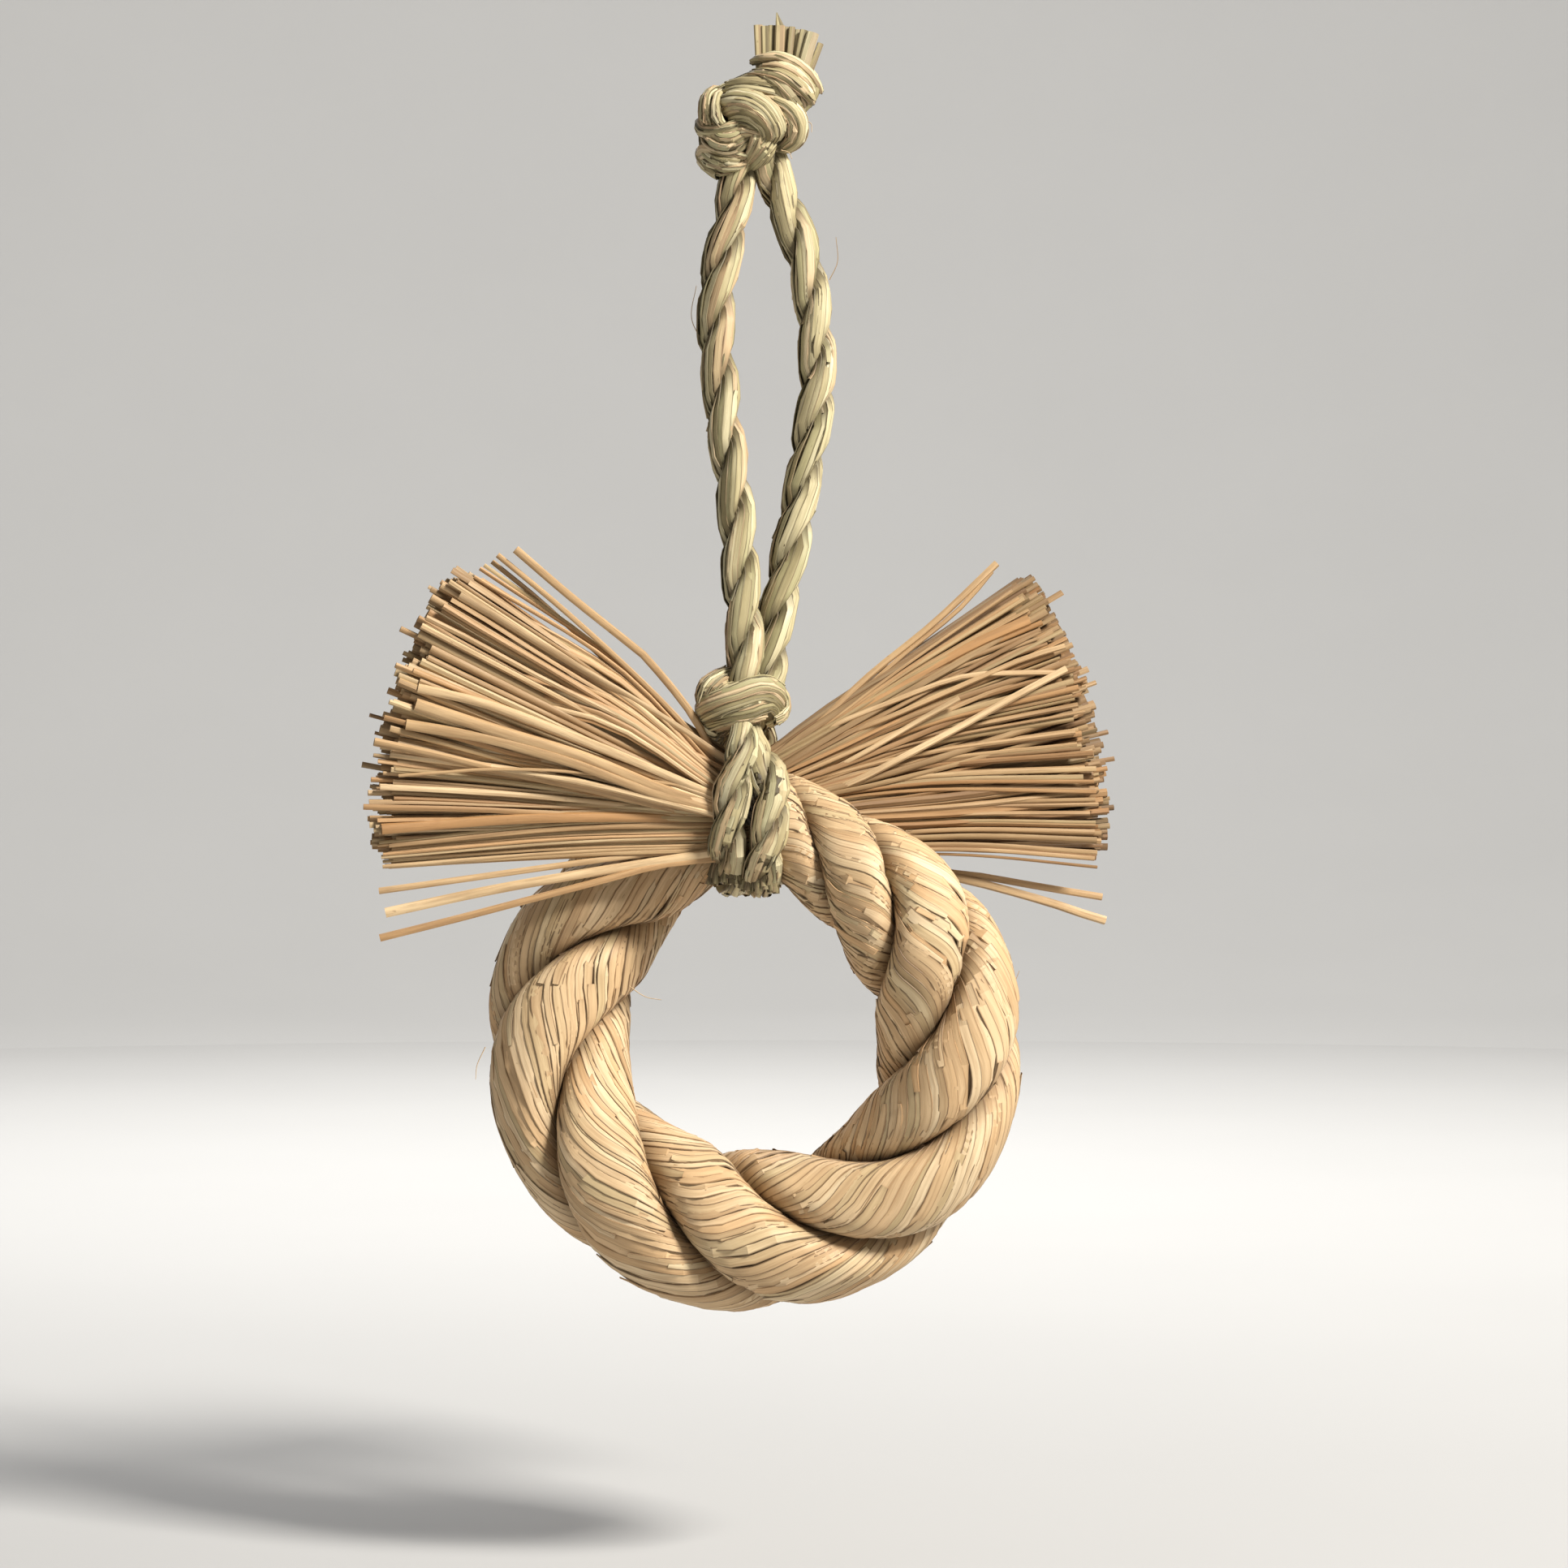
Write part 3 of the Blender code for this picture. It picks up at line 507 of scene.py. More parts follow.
class NodeBench:
    """Builds one material's nodes."""

    def __init__(self, name: str) -> None:
        """Starts a material with its Principled shader."""
        self.material = bpy.data.materials.new(name)
        self.material.use_nodes = True
        self.tree = self.material.node_tree
        self.shader = self.tree.nodes["Principled BSDF"]

    def node(self, kind: str, settings: dict, sockets: dict, out: int | str = 0) -> Wire:
        """Adds any node.

        Args:
            kind: the node's type.
            settings: its settings, set first.
            sockets: values or wires, by socket name or number.
            out: which output is wanted.

        Returns:
            That output.
        """
        node = self.tree.nodes.new(kind)
        for key, value in settings.items():
            setattr(node, key, value)
        for key, value in sockets.items():
            if isinstance(value, Wire):
                self.tree.links.new(value.socket, node.inputs[key])
            else:
                node.inputs[key].default_value = value
        return Wire(self.tree, node.outputs[out])

    def mix(self, share: Wire | float, first: object, second: object, blend: str = "MIX") -> Wire:
        """Mixes two colours.

        Args:
            share: how much of the second shows.
            first: a wire or a colour.
            second: a wire or a colour.
            blend: how they mix.

        Returns:
            The mixed colour.
        """
        sockets = {0: share}
        for key, value in ((6, first), (7, second)):
            sockets[key] = value if isinstance(value, Wire) else (*value, 1.0)
        return self.node("ShaderNodeMix", {"data_type": "RGBA", "blend_type": blend}, sockets, 2)

    def parts(self, vector: Wire) -> tuple[Wire, Wire, Wire]:
        """The three numbers of a vector or colour."""
        node = self.node("ShaderNodeSeparateXYZ", {}, {0: vector}).socket.node
        return tuple(Wire(self.tree, socket) for socket in node.outputs)

    def join(self, x: object, y: object, z: object) -> Wire:
        """A vector from three numbers."""
        return self.node("ShaderNodeCombineXYZ", {}, {0: x, 1: y, 2: z})

    def noise(self, place: Wire, scale: float, detail: float = 3.0, roughness: float = 0.55) -> Wire:
        """Noise from 0 to 1.

        Args:
            place: where it is read.
            scale: its fineness.
            detail: how many octaves it has.
            roughness: how strong the fine ones are.

        Returns:
            The noise.
        """
        sockets = {"Vector": place, "Scale": scale, "Detail": detail, "Roughness": roughness}
        return self.node("ShaderNodeTexNoise", {"noise_dimensions": "3D"}, sockets)

    def plug(self, name: str, value: object) -> None:
        """Feeds one of the shader's sockets.

        Args:
            name: the socket.
            value: a wire or a plain value.
        """
        if isinstance(value, Wire):
            self.tree.links.new(value.socket, self.shader.inputs[name])
        else:
            self.shader.inputs[name].default_value = value

    def bump(self, height: Wire, distance: float, strength: float) -> None:
        """Raises the surface by a height.

        Args:
            height: the height, about 0 to 1.
            distance: what one stands for, in metres.
            strength: how much of it shows.
        """
        sockets = {"Height": height, "Distance": distance, "Strength": strength}
        self.plug("Normal", self.node("ShaderNodeBump", {}, sockets))


@dataclass(frozen=True)
class StrawFinish:
    """Dry straw: its colours, streaks, stains, painted shade and surface."""

    name: str
    dark: tuple[float, float, float]
    middle: tuple[float, float, float]
    light: tuple[float, float, float]
    warm: tuple[float, float, float]
    green: tuple[float, float, float]
    # The colour of the painted shade between, under and along the straws.
    painted_shade_colour: tuple[float, float, float]
    streak: float = 0.35
    stain: float = 0.25
    # How strongly each straw's edges carry painted shade and their warm tint.
    edge: float = 0.5
    roughness: float = 0.56

    FIBRES = (6.0, 55.0)
    DRIFTS = (0.7, 42.0)
    SPECKS = (5.0, 420.0)
    CLOUDS = 55.0
    OWN_SHARE, DRIFT_SHARE, DARKER = 0.72, 0.55, 0.135
    GLOSS = 0.42
    RELIEF = 0.00022

    def make(self) -> bpy.types.Material:
        """Builds the material.

        Returns:
            The material.
        """
        bench = NodeBench(self.name)
        tone = bench.node("ShaderNodeAttribute", {"attribute_name": "straw_tone"}, {}, "Color")
        # The tone's third number is how open to the light the straw lies, for the painted shade.
        lightness, hue, outer = bench.parts(tone)
        run = bench.node("ShaderNodeUVMap", {"uv_map": "straw_run"}, {})
        across, along, _ = bench.parts(run)
        place = bench.node("ShaderNodeNewGeometry", {}, {}, "Position")
        # The products of lightness and hue give every straw a stretch of noise of its own.
        wide, long = (across * self.FIBRES[0], along * self.FIBRES[1])
        fibres = bench.noise(bench.join(wide + hue * 37.0, long, lightness * 23.0), 1.0, 4.0, 0.65)
        wide, long = (across * self.DRIFTS[0], along * self.DRIFTS[1])
        drift = bench.noise(bench.join(wide, long, hue * 61.0 + lightness * 17.0), 1.0, 2.0)
        cloud = bench.noise(place, self.CLOUDS, 3.0)
        wide, long = (across * self.SPECKS[0], along * self.SPECKS[1])
        specks = bench.noise(bench.join(wide + lightness * 51.0, long, hue * 13.0), 1.0, 2.0)

        value = lightness * self.OWN_SHARE + drift * self.DRIFT_SHARE - self.DARKER
        colour = bench.mix(value.ramp(0.05, 0.52), self.dark, self.middle)
        colour = bench.mix(value.ramp(0.45, 1.0), colour, self.light)
        colour = bench.mix(hue.ramp(0.62, 1.0) * 0.6, colour, self.warm)
        colour = bench.mix((1.0 - hue).ramp(0.66, 1.0) * 0.5, colour, self.green)
        streaks = fibres.ramp(0.34, 0.62)
        colour = bench.mix(self.streak * (1.0 - streaks), colour, self.dark)
        stain = cloud.ramp(0.56, 0.74) * drift.ramp(0.42, 0.66) * self.stain
        colour = bench.mix(stain, colour, self.warm, "MULTIPLY")
        colour = bench.mix(specks.ramp(0.71, 0.78) * 0.45, colour, self.dark)
        # Painted shade along each straw's edges where the straws meet, tinted partly warm as the edges' own
        # colour.
        rim = (across.near(0.5) * 2.0).ramp(0.37, 0.49)
        edge_shade_and_tint = bench.mix(hue.ramp(0.45, 0.8) * 0.45, self.painted_shade_colour, self.warm)
        colour = bench.mix(rim * self.edge, colour, edge_shade_and_tint)
        # Straws less open to the light are painted toward the shade colour.
        colour = bench.mix(1.0 - outer, colour, self.painted_shade_colour)
        bench.plug("Base Color", colour)
        bench.plug("Roughness", self.roughness + 0.16 * (1.0 - streaks) + 0.1 * (drift - 0.5))
        bench.plug("Specular IOR Level", self.GLOSS)
        bench.bump(fibres * 0.8 + specks * 0.2, self.RELIEF, 0.55)
        return bench.material


@dataclass(frozen=True)
class PlainFinish:
    """Twisted thread or string: one colour with fine fibre grain."""

    name: str
    colour: tuple[float, float, float]
    shade: tuple[float, float, float]
    roughness: float = 0.8
    grain: float = 2600.0

    def make(self) -> bpy.types.Material:
        """Builds the material.

        Returns:
            The material.
        """
        bench = NodeBench(self.name)
        place = bench.node("ShaderNodeNewGeometry", {}, {}, "Position")
        grain = bench.noise(place, self.grain, 3.0)
        patch = bench.noise(place, self.grain / 9, 2.0)
        mixed = bench.mix(grain.ramp(0.3, 0.7) * 0.7 + patch * 0.3, self.shade, self.colour)
        bench.plug("Base Color", mixed)
        bench.plug("Roughness", self.roughness + 0.1 * (grain - 0.5))
        bench.bump(grain, 0.0001, 0.5)
        return bench.material


@dataclass(frozen=True)
class BackdropFinish:
    """The pale matt floor."""

    colour: tuple[float, float, float] = (0.46, 0.455, 0.445)

    def make(self) -> bpy.types.Material:
        """Builds the material.

        Returns:
            The material.
        """
        bench = NodeBench("pale_floor")
        place = bench.node("ShaderNodeNewGeometry", {}, {}, "Position")
        mottle = bench.noise(place, 6.0, 2.0)
        darker = tuple(0.96 * part for part in self.colour)
        bench.plug("Base Color", bench.mix(mottle, darker, self.colour))
        bench.plug("Roughness", 0.85 + 0.05 * mottle)
        return bench.material


@dataclass
class Studio:
    """The camera, the lights and the floor."""

    floor_below: float = 0.062
    floor_radius: float = 3.0
    flat_share: float = 0.6
    centre_hole: float = 0.00001
    wall_height: float = 1.3

    def camera(self) -> None:
        """Sets the camera at the photograph's place, square to the wreath."""
        data = bpy.data.cameras.new("camera")
        data.lens = LENS
        data.sensor_width = SENSOR
        thing = bpy.data.objects.new("camera", data)
        bpy.context.scene.collection.objects.link(thing)
        thing.location = at_pixel(*MIDDLE_PIXEL, CAMERA_DISTANCE)
        thing.rotation_euler = (math.radians(90), 0, 0)
        bpy.context.scene.camera = thing

    def light(self, name: str, place: tuple, target: tuple, size: float, watts: float, colour: tuple) -> None:
        """Adds a soft lamp.

        Args:
            name: its name.
            place: where it stands.
            target: what it faces.
            size: its side.
            watts: its power.
            colour: its colour.
        """
        data = bpy.data.lights.new(name, "AREA")
        data.size = size
        data.energy = watts
        data.color = colour
        thing = bpy.data.objects.new(name, data)
        bpy.context.scene.collection.objects.link(thing)
        thing.location = place
        thing.rotation_euler = (Vector(target) - Vector(place)).to_track_quat("-Z", "Y").to_euler()

    def lights(self) -> None:
        """Adds the soft lamps and the pale sky."""
        middle = (0.0, 0.0, -0.15)
        self.light("key", (0.92, -0.78, 0.80), middle, 0.32, 47.0, (1.0, 0.97, 0.92))
        self.light("fill", (-1.0, -0.9, 0.0), middle, 0.9, 2.0, (1.0, 0.98, 0.96))
        self.light("back", (-0.3, 1.1, 0.8), middle, 0.9, 6.0, (0.97, 0.98, 1.0))
        self.light("wall_wash", (0.0, 0.7, 1.1), (0.0, 2.8, -0.1), 1.2, 42.0, (1.0, 0.99, 0.97))
        bpy.context.scene.view_settings.view_transform = "Standard"
        world = bpy.data.worlds.new("pale_sky")
        bpy.context.scene.world = world
        world.use_nodes = True
        sky = world.node_tree.nodes["Background"]
        sky.inputs["Color"].default_value = (0.95, 0.96, 1.0, 1)
        sky.inputs["Strength"].default_value = 0.2

    def floor(self, lowest: float) -> None:
        """Adds a wide floor that curves up into a low wall all round.

        Args:
            lowest: the wreath's lowest height.
        """
        base = lowest - self.floor_below
        radii = [0.0, self.flat_share * self.floor_radius]
        heights = [base, base]
        bend = (1 - self.flat_share) * self.floor_radius
        for share in np.linspace(0, 1, 12):
            angle = share * math.pi / 2
            radii.append(self.flat_share * self.floor_radius + bend * math.sin(angle))
            heights.append(base + bend * (1 - math.cos(angle)))
        radii.append(self.floor_radius)
        heights.append(base + bend + self.wall_height)
        angle = np.linspace(0, 2 * math.pi, 72, endpoint=False)
        rows = [
            np.stack((r * np.cos(angle), r * np.sin(angle), np.full_like(angle, z)), axis=1)
            for r, z in zip(radii, heights)
        ]
        rows[0] += self.centre_hole * np.stack((np.cos(angle), np.sin(angle), 0 * angle), axis=1)
        mesh = StrawMesh()
        mesh.grid(np.stack(rows), PLAIN_TONE, closed=True)
        mesh.build("studio_floor", BackdropFinish().make(), 80)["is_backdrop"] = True


@dataclass
class LayOfStraws:
    """How straws cover a skin: how many, how wide and how they turn."""

    count: int
    width: float
    step: float
    seed: int
    spread: float = 0.3
    lift: float = 0.00025
    tilt: float = 0.00015
    creased: float = 0.12
    crease: tuple[float, float] = (0.0035, 0.008)
    wander: float = 0.02
    tones: tuple[float, float] = (0.08, 1.0)
    fold_reach: tuple[float, float] = (0.003, 0.0052)
    widths: tuple[float, float] = (0.86, 1.25)
    wave_rates: tuple[float, float] = (95, 210)
    short_lengths: tuple[float, float] = (0.012, 0.045)
    short_widths: tuple[float, float] = (0.5, 1.0)
    short_slant: float = 3.0
    turned_up: float = 0.0004

    def tone(self, chance: random.Random) -> tuple[float, float, float]:
        """One straw's tone."""
        return (chance.uniform(*self.tones), chance.random(), chance.uniform(0.93, 1.0))

    def stops(self, start: float, stop: float, chance: random.Random) -> np.ndarray:
        """Where a straw bends: it lies flat for a while between two creases, or curves smoothly.

        Args:
            start: where the straw begins along the strand.
            stop: where it ends.
            chance: the source of chance.

        Returns:
            The distances along.
        """
        places = [start]
        while places[-1] < stop - self.step / 2:
            stride = chance.uniform(*self.crease) if chance.random() < self.creased else self.step
            places.append(min(stop, places[-1] + stride))
        return np.array(places)

    def fold(self, skin: Skin, along: np.ndarray, angle: np.ndarray, chance: random.Random) -> np.ndarray:
        """Makes a straw fold sharply where it passes over the strand's crest.

        Args:
            skin: what it lies on.
            along: where it bends otherwise.
            angle: its angles round the strand there.
            chance: the source of chance.

        Returns:
            Where it bends now.
        """
        turns = np.floor(angle / (2 * math.pi) + chance.uniform(-0.04, 0.04))
        for spot in along[1:][turns[1:] != turns[:-1]]:
            if chance.random() < float(skin.read(skin.crisp, spot)):
                far = np.abs(along - spot) > chance.uniform(*self.fold_reach)
                far[[0, -1]] = True
                along = np.unique(np.append(along[far], spot))
        return along

    def cover(self, mesh: StrawMesh, skin: Skin, twist: np.ndarray, extra: int = 0) -> None:
        """Covers a skin with straws laid side by side, and some short ones over them.

        Args:
            mesh: where they go.
            skin: what they cover.
            twist: how far the straws have turned round the strand, at each of the skin's stations.
            extra: how many short straws lie on top.
        """
        chance = random.Random(self.seed)
        places = np.cumsum([chance.uniform(1 - self.spread, 1 + self.spread) for _ in range(self.count)])
        places *= 2 * math.pi / places[-1]
        for place in places:
            waves = [chance.uniform(0, 2 * math.pi) for _ in range(2)]
            along = self.stops(0, skin.length, chance)
            along = self.fold(skin, along, place + skin.read(twist, along), chance)
            slow, quick = (np.sin(along * rate + wave) for rate, wave in zip(self.wave_rates, waves))
            wander = self.wander * (slow + 0.6 * quick)
            straw = Straw(
                self.width * chance.uniform(*self.widths), lift=self.lift * chance.random(),
                tilt=self.tilt * chance.uniform(0.4, 1.5), tone=self.tone(chance),
            )
            straw.lay(mesh, skin, along, place + skin.read(twist, along) + wander)
        for _ in range(extra):
            length = min(skin.length * 0.9, chance.uniform(*self.short_lengths))
            start = chance.uniform(0, skin.length - length)
            along = self.stops(start, start + length, chance)
            straw = Straw(
                self.width * chance.uniform(*self.short_widths), lift=self.lift * chance.uniform(1.1, 1.7),
                tone=self.tone(chance), turned_up=chance.uniform(0, self.turned_up),
            )
            slant = chance.uniform(-self.short_slant, self.short_slant) * (along - start)
            straw.lay(mesh, skin, along, chance.uniform(0, 2 * math.pi) + skin.read(twist, along) + slant)


@dataclass
class RingRope:
    """The three-strand rope of the ring, from the left brush round to the right one."""

    outer_diameter: float = 0.125
    rope_diameter: float = 0.0335
    strand_count: int = 3
    flatness: float = 0.68
    strand_gap: float = 0.0005
    centre_x: float = -0.0011
    below_tie: float = 0.00985
    leave_angle: float = 40.0
    lead_ease: float = 0.34
    # Shares of the rope's length at which the next strand comes over the outer edge.
    lay_marks: tuple = (0.038, 0.099, 0.176, 0.264, 0.374, 0.481, 0.595, 0.731, 0.84, 0.934)
    tie: tuple = (-0.0026, 0.0, -0.1438)
    end_reach: float = 0.0072
    end_lean: float = 16.0
    end_height: float = 0.0225
    end_depth: float = 0.0143
    touch_gap: float = 0.0003
    # Distances from the rope's end: it moves aside from the first to the second and is back in line
    # from the third to the fourth.
    crossing: tuple = (0.016, 0.040, 0.050, 0.150)
    crossing_offset: float = 0.0115
    swell_end: float = 0.062
    # How much thicker the rope is, at which clock angle most and how many degrees it takes to fade.
    swell: tuple = (0.13, 190.0, 62.0)
    straw_count: int = 31
    straw_width: float = 0.0027
    straw_turn: float = 1.38
    crease_angle: float = 21.0
    # How strongly painted shade darkens the straws between the strands.
    painted_valley_shade: float = 0.6
    # How often a straw folds over the crest: anywhere, and how much more between two clock angles.
    crisp: tuple = (0.25, 0.65)
    crisp_from: tuple = (150.0, 50.0)
    crisp_until: tuple = (335.0, 20.0)
    # The heart under the straws, painted dark as shade in the gaps: its share of the skin's size, the
    # distance between its rings, its sides, its tone.
    core: tuple = (0.93, 0.003, 24, (0.35, 0.5, 0.8))
    straw_step: float = 0.0016
    short_straws: int = 60
    seed: int = 11

    def __post_init__(self) -> None:
        """Works out the rope's middle line."""
        self.ring_radius = (self.outer_diameter - self.rope_diameter) / 2
        self.centre = np.array((self.centre_x, 0, self.tie[2] - self.below_tie - self.ring_radius))
        clocks = np.arange(self.leave_angle + 2, 360 - self.leave_angle, 2)
        arc = np.array([self.on_ring(clock) for clock in clocks])
        self.line = np.vstack((self.lead(-1), arc, self.lead(1)[::-1]))
        self.length = float(distances(self.line)[-1])

    def on_ring(self, clock_angle: float) -> np.ndarray:
        """The point of the ring's middle line at an angle clockwise from the top, in degrees."""
        angle = math.radians(clock_angle)
        return self.centre + self.ring_radius * np.array((math.sin(angle), 0, math.cos(angle)))

    def end(self, side: int) -> np.ndarray:
        """The middle of the rope's end: side is -1 left, 1 right."""
        lean = math.radians(self.end_lean)
        return np.array(self.tie) + self.end_reach * np.array((side * math.cos(lean), 0, math.sin(lean)))

    def lead(self, side: int) -> np.ndarray:
        """The line from the rope's end to the ring.

        Args:
            side: -1 for the left end, 1 for the right one.

        Returns:
            The line's points.
        """
        lean, leave = math.radians(self.end_lean), math.radians(self.leave_angle)
        start, stop = self.end(side), self.on_ring(-side * self.leave_angle)
        reach = self.lead_ease * np.linalg.norm(stop - start)
        first = start - reach * np.array((side * math.cos(lean), 0, math.sin(lean)))
        second = stop + reach * np.array((side * math.cos(leave), 0, math.sin(leave)))
        t = np.linspace(0, 1, 25)[:, None]
        s = 1 - t
        return s**3 * start + 3 * t * s**2 * first + 3 * t**2 * s * second + t**3 * stop

    def turns(self, share: np.ndarray) -> np.ndarray:
        """How many strands have come over the outer edge.

        Args:
            share: places along the rope, as shares of its length.

        Returns:
            The number of strands up to each place.
        """
        marks = np.array(self.lay_marks)
        spans = np.diff(marks)
        inner = 2 / (marks[2:] - marks[:-2])
        rates = np.concatenate(([1 / spans[0]], inner, [1 / spans[-1]]))
        k = np.clip(np.searchsorted(marks, share, side="right") - 1, 0, len(marks) - 2)
        t = (share - marks[k]) / spans[k]
        bend_in, bend_out = rates[k] * spans[k], rates[k + 1] * spans[k]
        count = k + t * t * (3 - 2 * t) + bend_in * t * (1 - t) ** 2 - bend_out * t * t * (1 - t)
        count = np.where(share < marks[0], (share - marks[0]) * rates[0], count)
        return np.where(share > marks[-1], len(marks) - 1 + (share - marks[-1]) * rates[-1], count)

    def strand_size(self) -> tuple[float, float, float]:
        """A strand's distance from the rope's middle, its half thickness and its half width."""
        share, radius = math.pi / self.strand_count, self.rope_diameter / 2
        lean = math.hypot(math.sin(share) * self.flatness, math.cos(share))
        width = (math.sin(share) * radius - self.strand_gap / 2) / (lean + math.sin(share) * self.flatness)
        return radius - self.flatness * width, self.flatness * width, width

    def skin(self, index: int) -> Skin:
        """One strand's skin.

        Args:
            index: which strand.

        Returns:
            The skin.
        """
        line = resample(self.line, 400)
        along = distances(line)
        near = np.minimum(along, self.length - along)
        start, peak, leave, stop = self.crossing
        share = smooth_step((near - start) / (self.swell_end - start))
        height = self.end_height / self.rope_diameter
        depth = self.end_depth / self.rope_diameter
        side = np.where(along < self.length / 2, -1.0, 1.0)
        edge = (self.end_depth + self.touch_gap) / 2
        offset = edge + (self.crossing_offset - edge) * smooth_step((near - start) / (peak - start))
        offset = side * offset * (1 - smooth_step((near - leave) / (stop - leave)))
        ahead = directions(line)
        phase = 2 * math.pi / self.strand_count * (self.turns(along / self.length) - index)
        phase = phase - math.pi / self.strand_count
        front = np.broadcast_to(FRONT, line.shape)
        outward = np.cross(front, ahead)
        most, clock, spread = self.swell
        away = line - self.centre
        clocks = np.degrees(np.arctan2(away[:, 0], away[:, 2])) % 360
        swell = most * (1 - smooth_step(np.abs(clocks - clock) / spread))
        line = line - FRONT * offset[:, None] - outward * (self.rope_diameter / 2 * swell)[:, None]
        after, before = (
            smooth_step((clocks - clock) / ease) for clock, ease in (self.crisp_from, self.crisp_until)
        )
        return Skin(
            line, outward, front, phase, (height + (1 - height) * share) * (1 + swell),
            (depth + (1 - depth) * share) * (1 + swell), *self.strand_size(), self.painted_valley_shade,
            self.crisp[0] + self.crisp[1] * after * (1 - before),
        )

    def strand(self, index: int, finish: bpy.types.Material) -> bpy.types.Object:
        """Builds one strand out of flat straws.

        Args:
            index: which strand.
            finish: its straw.

        Returns:
            The strand.
        """
        skin = self.skin(index)
        mesh = StrawMesh()
        skin.core(mesh, *self.core)
        reach, thickness, width = self.strand_size()
        twist = -self.straw_turn * (reach + thickness) / width * (skin.phase - skin.phase[0])
        lay = LayOfStraws(
            self.straw_count, self.straw_width, self.straw_step, self.seed + index, creased=0.15,
            crease=(0.0032, 0.006), tones=(0.3, 0.85),
        )
        lay.cover(mesh, skin, twist, self.short_straws)
        thing = mesh.build(f"ring_strand_{index + 1}_straws", finish, self.crease_angle)
        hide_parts(f"ring_strand_{index + 1}")
        return thing


@dataclass(frozen=True)
class Sheaf:
    """A group of stalks in a brush, each range from one side of the sheaf to the other."""

    count: int
    roots: tuple[float, float]
    tips: tuple[float, float]
    layers: tuple[float, float]
    bow: float = 0.0
    radii: tuple = (0.0005, 0.0006, 0.0007, 0.0008, 0.0009, 0.0011)


@dataclass(frozen=True)
class TracedSheaf:
    """A group of stalks between two lines traced from the photograph."""

    count: int
    first: tuple
    last: tuple
    radii: tuple = (0.0004, 0.0005, 0.0006, 0.0007, 0.0008)
    sway: float = 6.0
    depth_sway: float = 0.8

    def spread(self, mesh: StrawMesh, chance: random.Random, tones: tuple[float, float]) -> None:
        """Adds the stalks.

        Args:
            mesh: where they go.
            chance: the source of chance.
            tones: their range from dark to light.
        """
        first, last = (np.array(line, dtype=float) for line in (self.first, self.last))
        for k in range(self.count):
            share = (k + chance.uniform(0.1, 0.9)) / self.count
            line = first + (last - first) * share
            line[:, 1] += np.linspace(0.3, 1, len(line)) * chance.uniform(-self.sway, self.sway)
            line[:, 2] += chance.uniform(-self.depth_sway, self.depth_sway)
            line[-1] += (line[-1] - line[-2]) * chance.uniform(-0.06, 0.03)
            radius = chance.choice(self.radii)
            tone = (chance.uniform(*tones), chance.random(), chance.uniform(0.9, 1.0))
            flat = chance.choice((1.0, 0.9, 0.7, 0.45))
            stalk = Stalk(radius * 0.85, flat, 7, chance.uniform(-0.6, 0.6), 1.15, tone)
            stalk.run(mesh, traced(tuple(map(tuple, line)), 10))


